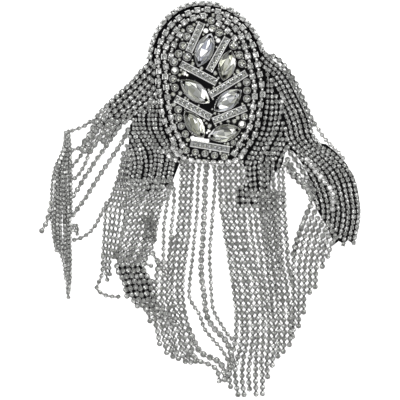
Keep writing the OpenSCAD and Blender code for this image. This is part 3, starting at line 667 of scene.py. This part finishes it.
def runs(stations, count, spacing=0, anchor="left", kind=FALL, wander=0.25, until=None,
         layer=0, roll=0.12, step=0.0012, even=True, rng=fall_rng):
    """Strands side by side through stations. Those that find no room begin later or end.

    Spacing and wander are in squares of the sheet. The strands end at the downs in until.
    """
    strands = []
    for j in range(count):
        phase, beat = rng.uniform(0, ANY_PHASE), rng.uniform(0.6, 1.1)
        line = []
        for i, (left_edge, right_edge, down, *more) in enumerate(stations):
            drop, felts = (*more, 0, 0)[:2]
            left, right = at(left_edge, down), at(right_edge, down + drop)
            wide = (right - left).length / SQUARE
            offset = (j + 0.5 + 0.5 * layer) * max(wide / count, spacing)
            if offset > wide * ROOM:
                if len(line) > 1:
                    break
                line = []
                continue
            share = offset / wide
            p = left.lerp(right, share if anchor == "left" else 1 - share)
            p += (right - left).normalized() * (wander * SQUARE * math.sin(phase + beat * i))
            p.z = felts * FELT_TOP + STAGGER * (j % 2) + LAYER * layer
            line.append(p)
        if len(line) < 2:
            continue
        row, width, pitch, ups = laid(line, kind, roll, step, even, rng)
        foot = at(0, until[j % len(until)] - LAYER_SHORTER * layer).y if until else -1
        keep = [k for k, p in enumerate(row) if foot <= p.y]
        if len(keep) > 3:
            part = slice(keep[0], keep[-1] + 1)
            strands.append((row[part], width, pitch, ups[part]))
    return strands


chain_pieces("left_wing_rows", runs(WING_LEFT, 8, 5.1, kind=WING_ROW, roll=0.1, even=False),
             5, "wing_rows_left", tones=(0.35, 0.9), shade=0.4, **SQUARE_CUP)
chain_pieces("right_band_rows", runs(
    RIGHT_BAND, 9, 5.05, "right", FELT_ROW, roll=0.1, step=0.0006,
    until=(244, 241, 245, 240, 244, 242, 239, 243, 238),
), 6, "rows_right", tones=(0.25, 0.8), shade=0.6, **SQUARE_CUP)


# The fringe: plain cup chain in falls that hang from the rows and lie on the
# table. Some falls are of thinner chain, and the ends step down unevenly.
OUTER_LOCKS_LEFT = [
    (123, 134, 148, 2, 1), (120, 131, 165, 3, 1), (116, 128, 179, 3, 1), (110, 127, 195, 2),
    (104, 127, 210, 1), (103, 126, 220, 2), (102, 122, 238, 2), (101, 118, 256, 2),
    (101, 117, 268, 2), (104, 117, 284),
]
chain_pieces("left_outer_locks", runs(
    OUTER_LOCKS_LEFT, 5, kind=THIN, until=(256, 282, 275, 262, 262),
), 7, "outer_locks_left")
# finer rows lie close on the felt, and the falls begin at their lower end
CLOSE_ROW = (0.0019, 0.0022)
CLOSE_STEP = 0.0008
CLOSE_ROCK = 0.25
close_rng = random.Random(31)
INNER_ROWS_LEFT = [
    (154, 163, 80, -1, 1), (151, 162, 91, 0, 1), (147, 162, 101, -1, 1), (140, 163, 108, 2, 1),
    (132, 162, 118, 2, 1), (126, 164, 130, 1, 1), (124.5, 170, 142, 0, 1), (125, 178, 152, 1, 1),
    (128, 176, 166, 0, 1), (127, 173, 180, 0, 1), (126, 168, 196, 0, 1),
]
chain_pieces("left_inner_rows", runs(
    INNER_ROWS_LEFT, 12, 3.95, "right", CLOSE_ROW, wander=1.1, step=CLOSE_STEP,
    until=(191, 184, 196, 187, 194, 182), rng=close_rng,
), 33, rock=CLOSE_ROCK)
INNER_LOCKS_LEFT = [
    (127, 173.5, 177, 0, 0.6), (126, 169, 192, 0, 0.3), (124, 163, 205), (123, 160, 218, 1),
    (121, 157, 232, 3), (118, 154, 246, 1), (115, 149, 258, -1, 0.6), (116, 145, 268, -1, 1),
    (121, 152, 281, 0, 1), (126, 155, 296, 2, 1), (133, 160, 306, 0, 0.5), (142, 170, 316, -2),
    (149, 176, 326, -2),
]
chain_pieces("left_inner_locks", runs(
    INNER_LOCKS_LEFT, 10, 5.1, "right", until=(326, 324, 321, 314, 307, 300, 292),
), 8, "inner_locks_left")
# painted shade: this second layer's cups and stones run darker, down to black, for the shade
# between the piled strands
INNER_PATCH_LEFT = [(141, 152, 214), (142, 154, 228), (143, 155, 243)]
chain_pieces("left_inner_patch", runs(
    INNER_PATCH_LEFT, 3, kind=THIN, layer=1,
), 19, tones=(0.0, 0.7))
LOWER_LOCKS_LEFT = [
    (180.5, 195.5, 157, 0, 2.8), (180, 195, 166, 0, 1.2), (179.5, 194.5, 176), (178.5, 194, 190),
    (178, 193.5, 205), (175.5, 192, 222), (172.5, 190.5, 236), (166, 188.5, 248), (156, 187, 262),
    (151, 185.5, 278, 1), (151, 185, 296, 1), (147, 187, 309, 2), (150, 189, 321, 1),
    (156, 192, 335, 1), (158, 194, 347), (164, 196, 357, -1), (173, 200, 368, -4),
]
chain_pieces("left_lower_locks", runs(
    LOWER_LOCKS_LEFT, 8, 5.2, "right", until=(370, 368, 364, 361, 358, 355, 352, 349),
), 9, "lower_locks_left")
FELT_ROWS_RIGHT = [
    (263, 267, 62, 2, 1), (264.5, 274, 74, 2, 1), (266, 281, 88, 4, 1), (266, 284, 102, 6, 1),
    (264, 287, 116, 6, 1), (260, 288, 131, 5, 1), (252, 288, 147, 3, 1), (244.5, 285, 161, 4, 1),
    (244, 284, 174, 1, 1), (245, 285, 190, 0, 1), (246, 286.5, 209, -1, 1),
]
chain_pieces("right_felt_rows", runs(
    FELT_ROWS_RIGHT, 9, 4.5, kind=FELT_ROW, wander=0.9, step=CLOSE_STEP,
    until=(206, 200, 209, 203, 197, 205), rng=close_rng,
), 34, rock=CLOSE_ROCK)
FRINGE_ROWS_RIGHT = [
    (245, 285, 190, 0, 0.6), (246, 286.5, 209, -1, 0.5), (247, 288, 219, 1, 0.3), (249, 289, 237),
    (252, 290, 252), (254, 291, 268), (257, 292, 284), (259, 292, 300), (260, 292, 316),
    (261, 291, 332), (260, 290, 348), (259, 288, 364), (260, 286, 380), (260, 284, 397),
]
chain_pieces("right_fringe_rows", runs(
    FRINGE_ROWS_RIGHT, 7, 5.3, until=(397, 382, 369, 361, 356, 350, 342),
), 10, "fringe_rows_right")
# two pale rows stand over the plaque's foot; their palest cups and stones glow with painted light,
# and they get no painted shade
FOOT_LIFT = 0.0035
FOOT_ARC = [
    (172, 147), (176, 152), (181, 156.5), (188, 159.5), (198, 161), (208, 162), (218, 162.5),
    (228, 162.5), (236, 160.5), (241, 156),
]
FOOT_CORNER = [(160, 148), (165, 153), (171, 157), (177, 160.5), (186, 164.5)]
chain_pieces("foot_rows", [
    laid([at(*spot, FELT_TOP + FOOT_LIFT) for spot in FOOT_ARC], DOUBLE),
    laid([at(*spot, FELT_TOP) for spot in FOOT_CORNER], LARGE),
], 18, tones=(0.9, 1), shade=0)
FRINGE_THICK = [
    (256, 272, 150, 0, 1), (256, 273, 175, 0, 1), (257, 274, 200, 0, 1), (258, 276, 225),
    (261, 278, 252), (264, 280, 280), (266, 280, 300), (268, 280, 320),
]
chain_pieces("thick_fringe", runs(
    FRINGE_THICK, 3, kind=THIN, until=(318, 302, 276), layer=1,
), 11)
FRINGE_MIDDLE = [
    (217, 244, 158, 0, 1), (217, 244, 180, 0, 1), (218, 245, 198, 0, 1), (219, 246, 210, 0, 0.8),
    (221, 247, 220), (223.5, 249, 237), (226, 252, 252), (228.5, 254, 268), (230.5, 257, 284),
    (232.5, 259, 300), (234, 260, 316), (234, 261, 332), (232, 260, 345, 3), (228, 259, 358, 4),
    (225, 259, 374, 4), (230, 259, 398),
]
chain_pieces("middle_fringe", runs(
    FRINGE_MIDDLE, 5, until=(391, 395, 398, 394, 396),
), 12, "fringe_middle")
FRINGE_FAN_RIGHT = [
    (314, 338, 196, 44, 1), (309, 333, 203, 44, 1), (303, 331, 215, 39, 0.6), (298, 330, 229, 33),
    (294, 330, 244, 27), (291.5, 330, 258, 23), (291, 329, 274, 18), (291, 328, 292, 12),
    (291, 327, 310, 6), (291, 326, 326, 4), (290, 324, 342, 2),
]
chain_pieces("right_fringe_fan", runs(
    FRINGE_FAN_RIGHT, 7, until=(338, 330, 313, 298, 292, 271, 261),
), 13, "fringe_fan_right")
# the tassel: fine chain in two layers, with a knob at its side
FINE = (0.0017, 0.0022)
TASSEL_ENDS = (251, 254, 281, 289, 298, 298, 292)
TASSEL_ROLL = 0.3
TASSEL = [
    (65, 68, 131), (64.5, 69, 142), (60.5, 69.5, 154), (54, 70, 166), (51.5, 71, 178),
    (50.5, 71.5, 190), (50, 72, 205), (50, 71, 219), (51.5, 70.5, 234), (53.5, 70, 246),
    (54.5, 70, 253), (59, 69.8, 264), (61.5, 69.5, 278), (64, 69, 288), (66.3, 69, 299),
]
KNOB = [(70, 75, 222, -1), (71, 77.5, 227, 1), (71, 77, 233, 1)]
tassel = []
for layer, count, wander in ((0, 7, 0.7), (1, 6, 0.9)):
    tassel += runs(TASSEL, count, kind=FINE, wander=wander, until=TASSEL_ENDS, layer=layer,
                   roll=TASSEL_ROLL, even=False)
tassel += runs(KNOB, 3, kind=FINE, layer=1, roll=TASSEL_ROLL)
chain_pieces("far_left_tassel", tassel, 14, "tassel_far_left", rock=0.12, tones=(0.3, 0.6),
             shade=0.8)


# Single strands: loose ends of the same chain that cross the white table by
# themselves, from the wing to the tassel and straight down from the plaque.
FAR_BEAD, CENTRE_BEAD = 0.34, 0.3
EDGE_LIFT = 0.0008
OVER_BAND, BESIDE_BAND = 0.0009, 0.0003
# a strand's chain and points: across, down, and felts under it where that isn't 0
FAR_STRANDS = [
    (THIN, (93, 119, 1), (83, 126.5), (76.5, 129), (71, 131), (67.5, 133.5), (66.5, 141)),
    (THIN, (98, 124, 1), (92, 131, 0.5), (86, 141), (81, 147), (72, 150)),
    (THIN, (84, 150), (80, 156.5), (77, 160.5), (72, 166)),
    (THIN, (89, 150), (87, 159), (84, 165.5), (80.5, 171.5), (76, 177), (72, 180)),
    (DOUBLE, (97, 120, 1.8), (93, 128.5, 0.5), (89, 135.5), (84.5, 142), (82, 149)),
    (DOUBLE, (104, 119, 1.8), (99, 126, 1), (94, 134), (90, 141), (86, 148), (83, 154)),
    (DOUBLE, (112, 120, 1.8), (105, 129, 0.8), (99.5, 137), (94, 145), (90, 151)),
    (DOUBLE, (118, 121, 1.8), (111.5, 130, 0.8), (105, 139), (101, 144)),
    (LARGE, (123, 121.5, 1), (117, 129, 0.5), (113, 135)),
    (LARGE, (119, 127, 0.5), (110, 140, 0.2), (101, 153.5), (96.5, 159.5), (92, 166), (88, 172),
     (84, 178), (80.5, 184), (77, 190), (73, 195.5)),
    (LARGE, (128, 130, 0.8), (124, 138, 0.4), (116.5, 150), (112.5, 156), (108.5, 162.5),
     (104, 168.5), (100, 174.5), (96, 181), (92, 187), (88.5, 193), (84.5, 199), (80.5, 204.5),
     (76.5, 210), (73, 215)),
    (THIN, (107, 202, 0.5), (100.5, 215), (98, 220.5), (95, 225.5), (91, 230.5), (87, 234.5),
     (82, 237.5), (76.5, 239.5), (71, 240.5)),
    (LARGE, (51, 203), (49, 213), (46, 222.5), (39.5, 234)),
    (THIN, (102.8, 255), (102.5, 265), (102, 273), (100, 279.5), (97.5, 284.5), (96.5, 289),
     (101, 293), (105.5, 295.5), (110.5, 296.5), (116, 297), (121.5, 296.5)),
]
CENTRE_STRANDS = [
    (THIN, (171, 187, 1), (168, 198, 0.3), (166.5, 206), (165, 216), (164, 225), (163.5, 235),
     (163.5, 247), (163.5, 260), (164, 274, 0.3)),
    (THIN, (169, 178, 1), (173.5, 188, 0.3), (174, 198), (173.5, 209), (172.5, 220), (171, 232),
     (170, 247)),
    (THIN, (200, 161.5, 2.4), (199.5, 167, 1), (198.5, 175), (197.5, 189), (197.5, 201), (197, 213),
     (196, 225), (194.5, 237), (193, 250), (192, 262), (190.5, 274), (189.5, 286), (189.5, 297),
     (192.5, 304), (198, 312), (201, 319), (204, 328), (209, 335), (214, 341), (222, 350),
     (227, 359), (230, 368)),
    (THIN, (214, 162, 2.4), (214, 168, 1), (215, 176), (214.5, 192), (213.5, 206), (212, 221),
     (211, 235), (210, 248), (209.5, 260), (210.5, 272), (211, 285), (211.5, 298), (213, 309),
     (217, 318), (222, 326), (227, 333.5), (234, 341)),
    (DOUBLE, (207, 162, 2.4), (206.5, 168, 1), (205.5, 176), (205, 191), (204.5, 206), (204, 221),
     (203, 235), (202, 250), (201, 264), (202, 279), (204, 293), (205, 307), (208, 319),
     (213.5, 328), (219.5, 334), (226, 341), (230, 350), (232, 362), (229, 374)),
    (DOUBLE, (189, 330), (193.5, 339), (196.5, 346), (200.5, 352), (206, 356), (212, 358.5),
     (219, 362), (223, 368), (224.5, 375), (225, 383)),
    (LARGE, (188, 348), (192, 354), (196.5, 359), (201, 362), (206, 363.5), (212, 366), (217, 370),
     (218.5, 375), (219, 381)),
    (THIN, (138, 262, 1), (146, 264, 1), (154, 267)),
    (LARGE, (151, 249), (154, 256), (158, 262), (160, 268)),
]
EDGE_STRANDS = [
    (LARGE, (285, 160, 1), (289, 172, 1), (296, 179, 1), (303, 186, 1), (309, 193, 1),
     (311, 203, 0.8), (306, 215), (300.5, 229), (296, 242), (293, 254)),
    (THIN, (290, 160, 1), (294, 170, 1), (301, 178, 1), (308, 186.5, 1), (313, 196, 1)),
    (LARGE, (266, 55, 1), (275, 57, 1), (283, 64, 1), (289, 72, 1), (295, 82, 1), (300.5, 93, 1),
     (305.5, 105, 1), (310.5, 117, 1), (316, 127, 1)),
    (LARGE, (285.5, 144, 1), (291, 154, 1), (297, 163, 1), (303, 172, 1), (309, 181, 1),
     (314, 190, 1)),
    (LARGE, (287, 158, 1), (293, 172, 1), (300, 179, 1), (307, 188, 1), (312, 199, 1)),
]
BAND_STRAND = [
    (306, 158, 1), (315, 170.5, 1), (323, 180, 1), (330, 188, 1), (333, 198, 1), (332.5, 209, 1),
]
BESIDE_STRAND = [
    (312, 119, 1), (317, 127, 0.6), (323, 136, 0.3), (329, 143, 0.3), (336, 149.5, 1),
    (343, 158, 1),
]


def single(points, kind, lift=0.0):
    return laid([at(across, down, sum(felts) * FELT_TOP + lift) for across, down, *felts in points],
                kind)


def beaded(strands, bead):
    """Strands that lie on their beads, which are larger than the cups' feet."""
    return [single(points, kind, kind[0] * (bead - CUP_FOOT)) for kind, *points in strands]


chain_pieces("far_strands", beaded(FAR_STRANDS, FAR_BEAD), 15, "far_strands_left", bead=FAR_BEAD)
chain_pieces("centre_strands", beaded(CENTRE_STRANDS, CENTRE_BEAD), 16, "centre_strands",
             bead=CENTRE_BEAD)
# the band's strands are pale; their palest cups and stones glow with painted light, and they get no
# painted shade
chain_pieces("band_strand", [
    single(BAND_STRAND, DOUBLE, OVER_BAND), single(BESIDE_STRAND, THIN, BESIDE_BAND),
], 20, bead=BEAD_SIZE, tones=(0.85, 1), shade=0)
chain_pieces("edge_strands", [single(points, kind, EDGE_LIFT) for kind, *points in EDGE_STRANDS],
             17, "edge_strands_right")


# Pointed crystals: six long sew-on stones with a hole near each tip, on silver
# plates with claws at their sides. Their palest facets glow with painted light
# in place of the light that the foil behind them throws back.
MARQUISE_WIDTH = 0.008
MARQUISE_HEIGHT = 0.0028
MARQUISE_SIDES = 12
STONE_INSET = (0.0003, 0.0001)
PLATE = 0.001
PLATE_SIDES = 40
PLATE_LIP = (0.0002, 0.00015)
CLAW = 0.0007
CLAW_REACH = 0.0005
CLAW_ALONG, CLAW_ASIDE = 0.36, 0.9
HOLE = 0.00085
HOLE_INSET = 0.0021
# the two tips, share of the full width, tint from blue (-1) to yellow (1)
MARQUISES = [
    ((211.2, 33.8), (197.8, 67.3), 1.12, -0.4), ((231, 50.6), (223, 81.2), 1.06, 0.4),
    ((180.5, 80.5), (209.4, 103.3), 1.14, 0.2), ((214, 111.2), (241.5, 90.5), 1.1, -0.1),
    ((184.9, 111.2), (203.9, 138.2), 1.04, 0.4), ((207.6, 137.4), (240.9, 129.6), 1.08, 0.1),
]
# painted highlights and painted dark reflections on the pointed and round stones: across, down,
# reach, tone
FLASHES = [
    (209, 33, 4, 1), (205.5, 30, 3, 1), (202, 42, 4, 0.5), (207.5, 45, 2.5, 1), (203, 53.5, 2.5, 1),
    (226, 57, 4, 0.4), (219.5, 71, 4, 0.2), (234, 61, 3.5, 1), (218, 41.2, 4, 1),
    (202.5, 95.5, 3.3, 1), (188, 83, 5, 0.25), (186, 75, 2.2, 1), (225, 97.5, 3, 1),
    (220.5, 109, 2.2, 1), (216.5, 106, 2.5, 0.1), (189, 113, 5, 0.1), (196.5, 122, 2.5, 1),
    (200, 121, 2.5, 1), (227, 127, 5, 0.1), (209, 133.5, 3, 1), (217, 131.5, 1.8, 1),
    (232, 131, 2.5, 1), (237.5, 132, 4, 0.7), (206.8, 131, 2, 1), (241.3, 123.8, 2.5, 1),
    (174.5, 70.5, 2, 1), (190, 88, 4, 0.3), (196.5, 90, 3.5, 0.4), (195, 96, 3, 0.4),
    (191, 122, 3, 0.25), (194, 129, 3, 0.35), (201, 131, 2, 0.3),
]


def pointed_ring(centre, along, count, length, width, level, shift=0.0):
    """Points round a shape of two arcs, at a level over the plaque's face."""
    radius = (length ** 2 + width ** 2) / (2 * width)
    ring = []
    for k in range(count):
        turn = 2 * math.pi * (k + shift) / count
        x = length * math.cos(turn)
        y = math.sqrt(max(radius * radius - x * x, 0)) - (radius - width)
        p = centre + along * x + left_of(along) * (y if math.sin(turn) >= 0 else -y)
        p.z = FACE + level
        ring.append(p)
    return ring


def round_ring(centre, radius, level, count=8, shift=0.0, along=Vector((1, 0, 0)), lean=0.0):
    """Points round a centre, from the direction along, where a leaning ring is low."""
    ring = []
    for k in range(count):
        turn = 2 * math.pi * (k + shift) / count
        out = along * math.cos(turn) + left_of(along) * math.sin(turn)
        ring.append(centre + out * radius + up(level - lean * math.cos(turn)))
    return ring


def ringed_shape(rings, ridge=None, tint=0):
    """Points and faces over closed rings from base to top, with a fan on each end."""
    n = len(rings[0])
    points = [p for ring in rings for p in ring]
    faces = [tuple(range(n - 1, -1, -1))]
    for i in range(len(rings) - 1):
        for k in range(n):
            a, b = i * n + k, i * n + (k + 1) % n
            c, d = a + n, b + n
            faces += [(a, b, c), (b, d, c)] if i % 2 else [(a, b, d), (a, d, c)]
    last = (len(rings) - 1) * n
    if ridge:
        first = len(points)
        points += ridge
        for k in range(n):
            a, b = last + k, last + (k + 1) % n
            near = [min(range(len(ridge)), key=lambda r: (ridge[r] - points[q]).length)
                    for q in (a, b)]
            faces.append((a, b, first + near[0]))
            if near[0] != near[1]:
                faces.append((b, first + near[1], first + near[0]))
    else:
        faces.append(tuple(last + k for k in range(n)))
    return points, faces, tint


def faceted_piece(name, shapes, slot, seed, *nodes, low=0.0, high=1.0, flashes=()):
    """Many small shapes in one mesh, with a tone and a tint for each face."""
    rng = random.Random(seed)
    points, faces, tints = [], [], []
    for shape_points, shape_faces, tint in shapes:
        base = len(points)
        points += shape_points
        faces += [tuple(base + k for k in face) for face in shape_faces]
        tints += [tint + rng.uniform(-0.5, 0.5) for _ in shape_faces]
    piece = mesh_piece(name, points, [], faces, FINISHES[slot])
    tones = []
    for polygon in piece.data.polygons:
        tone = rng.uniform(low, high)
        # painted highlights and painted dark reflections take the place of the random tone
        for across, down, near, flash in flashes:
            if (polygon.center.xy - at(across, down).xy).length < near * SQUARE:
                tone = flash
        tones.append(tone)
    for key, values in (("tone", tones), ("tint", tints[:len(tones)])):
        piece.data.attributes.new(key, "FLOAT", "FACE").data.foreach_set("value", values)
    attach(piece, "root")
    if nodes:
        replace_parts(piece, *nodes)
    return piece


def axes(end_a, end_b):
    """The middle between two ends, the ways along and to the left, and the length."""
    a, b = at(*end_a), at(*end_b)
    along = (b - a).normalized()
    return (a + b) / 2, along, left_of(along), (b - a).length


stones, plates, holes = [], [], []
for tip_a, tip_b, share, tint in MARQUISES:
    centre, along, side, length = axes(tip_a, tip_b)
    length, width = length / 2, MARQUISE_WIDTH * share / 2
    crown = [PLATE + MARQUISE_HEIGHT * part for part in (0.2, 0.3, 0.64, 0.86)]
    girdle = (length - STONE_INSET[0], width - STONE_INSET[1])
    plates.append(ringed_shape([pointed_ring(centre, along, PLATE_SIDES, *shape) for shape in (
        (length, width, 0), (length, width, PLATE * 0.9),
        (length - PLATE_LIP[0], width - PLATE_LIP[1], PLATE),
    )]))
    stones.append(ringed_shape([pointed_ring(centre, along, MARQUISE_SIDES, *shape) for shape in (
        (length * 0.8, width * 0.75, PLATE * 0.9), (*girdle, crown[0]), (*girdle, crown[1]),
        (length * 0.8, width * 0.72, crown[2], 0.5), (length * 0.68, width * 0.4, crown[3]),
    )], [
        centre + along * length * k + side * width * w + up(FACE + PLATE + MARQUISE_HEIGHT)
        for k, w in ((-0.45, 0), (0, 0.12), (0.45, -0.08))
    ], tint))
    for end in (-1, 1):
        hole = centre + along * end * (length - HOLE_INSET)
        holes.append(ringed_shape([
            round_ring(hole, HOLE, FACE + PLATE, 12, along=along),
            round_ring(hole, HOLE, FACE + PLATE + MARQUISE_HEIGHT * 0.76, 12, along=along,
                       lean=MARQUISE_HEIGHT * 0.18 * end),
        ]))
        for flank in (-1, 1):
            foot = centre + along * end * length * CLAW_ALONG + side * flank * width * CLAW_ASIDE
            plates.append(ringed_shape([
                round_ring(foot - side * flank * inward, CLAW / 2 * grow, FACE + level, along=along)
                for grow, level, inward in (
                    (1, 0, 0), (1, crown[1], 0), (0.6, PLATE + MARQUISE_HEIGHT * 0.5, CLAW_REACH),
                )
            ]))
faceted_piece("pointed_crystals", stones, "crystal", 21,
              *(f"marquise_{i + 1}" for i in range(len(MARQUISES))),
              low=0.22, high=0.9, flashes=FLASHES)
faceted_piece("pointed_settings", plates, "silver", 24, "marquise_cups", low=0.35, high=0.9)
faceted_piece("pointed_holes", holes, "felt", 25)


# Round crystals: brilliant-cut stones in clawed cups, set in a ring round the
# plaque inside its rows, with four more in a line under the lowest bar.
ROUND_WIDTH = 0.0038
ROUND_HEIGHT = 0.0016
CUP_HEIGHT = 0.001
CUP_WALL = 0.0003
STONE_GAP = 0.0001
# across, down, share of the full width
ROUNDS = [
    (190.3, 29.8, 1), (187, 37.3, 1), (183, 46.4, 1), (178.7, 54.4, 1), (187.2, 57.6, 1.1),
    (174, 62.6, 1.1), (175, 71.2, 1), (173, 79.5, 1), (175, 88.2, 1), (178.3, 110, 1),
    (178.7, 118.3, 1), (181.3, 126.4, 0.92), (185.4, 134.3, 0.95), (195.3, 152.4, 0.92),
    (205, 153.8, 0.92), (214.5, 155.4, 0.92), (224.2, 157, 0.92), (211, 21.5, 0.95),
    (212.3, 29.3, 0.95), (219.2, 33.4, 1), (233.5, 46, 1.15), (239.1, 55.6, 1), (241.8, 64.2, 1.05),
    (246.4, 82.8, 1), (246.8, 91, 1), (246.6, 99.2, 1), (244.2, 117, 0.92), (242, 124.8, 1),
    (233.2, 143, 0.72), (186.3, 150.6, 0.92), (218, 41.2, 0.7),
]
# share of the radius, share of the height, turn
ROUND_RINGS = [(0.3, 0, 0), (1, 0.46, 0.5), (1, 0.55, 0.5), (0.8, 0.8, 0), (0.5, 1, 0.5)]
round_foot = FACE + CUP_HEIGHT + STONE_GAP - ROUND_HEIGHT * 0.5
stones = []
for across, down, share in ROUNDS:
    centre = at(across, down)
    radius = ROUND_WIDTH / 2 * share - CUP_WALL
    stones.append(ringed_shape([
        round_ring(centre, radius * grow, round_foot + ROUND_HEIGHT * height, shift=shift)
        for grow, height, shift in ROUND_RINGS
    ], [at(across, down, round_foot + ROUND_HEIGHT)], 0.2))
faceted_piece("round_crystals", stones, "crystal", 22,
              *(f"round_stone_{i + 1}" for i in range(len(ROUNDS))),
              low=0.2, high=0.95, flashes=FLASHES)
round_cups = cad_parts["round_cups"]
round_cups.data.materials.clear()
round_cups.data.materials.append(silver)


# Small flat-backed crystals glued to the felt in the gaps between the larger
# stones, and one slim stick of crystal over the lowest bar, which glows as a
# painted glint. The felt stays bare in some places between the bars.
BARS = [
    ((202, 23.5), (188.8, 52.6)), ((227.3, 38.5), (208.8, 71.5)),
    ((180.8, 64.4), (216.5, 83.2)), ((246.3, 73.4), (209.8, 95.8)),
    ((175.3, 98.8), (210.8, 118)), ((246, 108.2), (212.8, 121.6)),
    ((190.5, 143.4), (229.5, 150)),
]
SMALLEST, LARGEST = 0.0006, 0.0013
TRIES = 7000
BAR_CLEAR = 0.0018
ROW_CLEAR = 0.0014
# across, down, reach
BARE = [(206, 80, 9), (210, 104, 4), (205, 111, 6), (195, 78, 5), (183, 79, 2)]
STICK = ((190.5, 137.8), (209, 140.9))
STICK_HALF_WIDTH = 0.0007
# painted glint: every face of the stick takes the palest tone, so the whole stick glows
STICK_FLASH = (199.5, 139.3, 9.5, 1.0)
# the fill's reach past the pad's face, and the plaque's foot, where it goes farther
FILL_REACH, FOOT_REACH = 0.9, 1.3
FOOT_ACROSS, FOOT_DOWN, FOOT_HALF_WIDTH = 209, 150, 0.016


def has_felt(spot):
    """On the pad's face, or near its wall, and farther out at the plaque's foot."""
    foot = at(FOOT_ACROSS, FOOT_DOWN)
    at_foot = spot.y < foot.y and abs(spot.x - foot.x) < FOOT_HALF_WIDTH
    return pad_share(spot) <= (FOOT_REACH if at_foot else FILL_REACH)


taken = [(at(across, down), near * SQUARE) for across, down, near in BARE]
taken += [(at(across, down), ROUND_WIDTH / 2 * share) for across, down, share in ROUNDS]
for tip_a, tip_b, share, _ in MARQUISES:
    for k in range(-9, 10):
        taken.append((at(*tip_a).lerp(at(*tip_b), 0.5 + k / 20),
                      MARQUISE_WIDTH * share / 2 * (1 - (k / 10) ** 2)))
for end_a, end_b in BARS:
    taken += [(at(*end_a).lerp(at(*end_b), k / 20), BAR_CLEAR) for k in range(1, 20)]
for strand in plaque_strands:
    taken += [(p, ROW_CLEAR) for p in strand[0]]
spot_rng = random.Random(29)
spots, placed, stones = [], [], []
for _ in range(TRIES):
    centre = at(spot_rng.uniform(160, 262), spot_rng.uniform(14, 162))
    if has_felt(centre):
        free = min((centre.xy - place.xy).length - far for place, far in taken)
        if free > SMALLEST:
            spots.append((free, centre))
for free, centre in sorted(spots, key=lambda spot: -spot[0]):
    radius = min([free, LARGEST] + [(centre.xy - place.xy).length - far for place, far in placed])
    if radius < SMALLEST:
        continue
    placed.append((centre, radius))
    share = pad_share(centre)
    low = FELT_TOP + SEAT + (pad_profile(share) if share < 1 else 0)
    stones.append(ringed_shape([
        round_ring(centre, radius * grow, low + ROUND_HEIGHT * height)
        for grow, height in ((0.9, 0), (1, 0.3), (0.6, 0.7))
    ], [centre + up(low + ROUND_HEIGHT * 0.75)], 0.2))
a, b = (at(*end, FACE) for end in STICK)
side = left_of(b - a).normalized() * STICK_HALF_WIDTH
stones.append(ringed_shape([
    [q + side * w + up(h) for q, w in ((a, -s), (b, -s), (b, s), (a, s))]
    for s, h in ((1, 0), (1, 0.0006), (0.6, 0.0011))
]))
faceted_piece("small_crystals", stones, "crystal", 27, low=0.45, high=0.95,
              flashes=FLASHES + [STICK_FLASH])


# Set bars: a line of square crystals between two bright rails, seven in all,
# fixed through the felt so that they frame the pointed stones.
BAR_WIDTH = 0.0036
BAR_FLOOR = 0.0008
BAR_PITCH = 0.0025
BAR_STONE = 0.0023
RAIL_HEIGHT = 0.0015
# across and up, in shares of the bar's width and the rails' height
BAR_SECTION = [
    (-0.5, 0), (-0.5, 0.8), (-0.45, 1), (-0.37, 1), (-0.33, 0.5),
    (0.33, 0.5), (0.37, 1), (0.45, 1), (0.5, 0.8), (0.5, 0),
]
# the faces of the section that look into the channel, and their tones: painted shade, darker than
# the rails and darkest on the channel's floor
CHANNEL = ((3, 0.6), (4, 0.2), (5, 0.6))
# corners of a square stone, along and across the bar
CORNERS = ((1, -0.6), (1, 0.6), (0.6, 1), (-0.6, 1), (-1, 0.6), (-1, -0.6), (-0.6, -1), (0.6, -1))
n = len(BAR_SECTION)
# four-sided walls of a bar, then its two ends
bar_faces = [(k, k + n, (k + 1) % n + n, (k + 1) % n) for k in range(n)]
bar_faces += [tuple(range(n)), tuple(range(2 * n - 1, n - 1, -1))]
stones, frames = [], []
for ends in BARS:
    centre, along, side, length = axes(*ends)
    frames.append(([
        at(*end) + side * BAR_WIDTH * x + up(FACE + RAIL_HEIGHT * z)
        for end in ends for x, z in BAR_SECTION
    ], bar_faces, 0))
    many = int((length - BAR_STONE) / BAR_PITCH) + 1
    for k in range(many):
        middle = centre + along * ((k - (many - 1) / 2) * BAR_PITCH)
        stones.append(ringed_shape([[
            middle + along * BAR_STONE / 2 * grow * x + side * BAR_WIDTH * 0.34 * grow * y
            + up(FACE + BAR_FLOOR + STONE_GAP + RAIL_HEIGHT * 0.5 * height) for x, y in CORNERS
        ] for grow, height in ((0.8, 0), (1, 0.55), (0.55, 1))], [
            middle + up(FACE + BAR_FLOOR + RAIL_HEIGHT * 0.56),
        ]))
faceted_piece("bar_crystals", stones, "crystal", 23, "bar_stones", low=0.1, high=0.85)
# painted glint: the rails take the palest tones, so they glow with light of their own
rails = faceted_piece("bar_rails", frames, "silver", 26, "bar_frames", low=0.985)
# painted shade: the channel's faces are set darker, and they don't glow
for bar in range(len(BARS)):
    for wall, tone in CHANNEL:
        rails.data.attributes["tone"].data[bar * len(bar_faces) + wall].value = tone
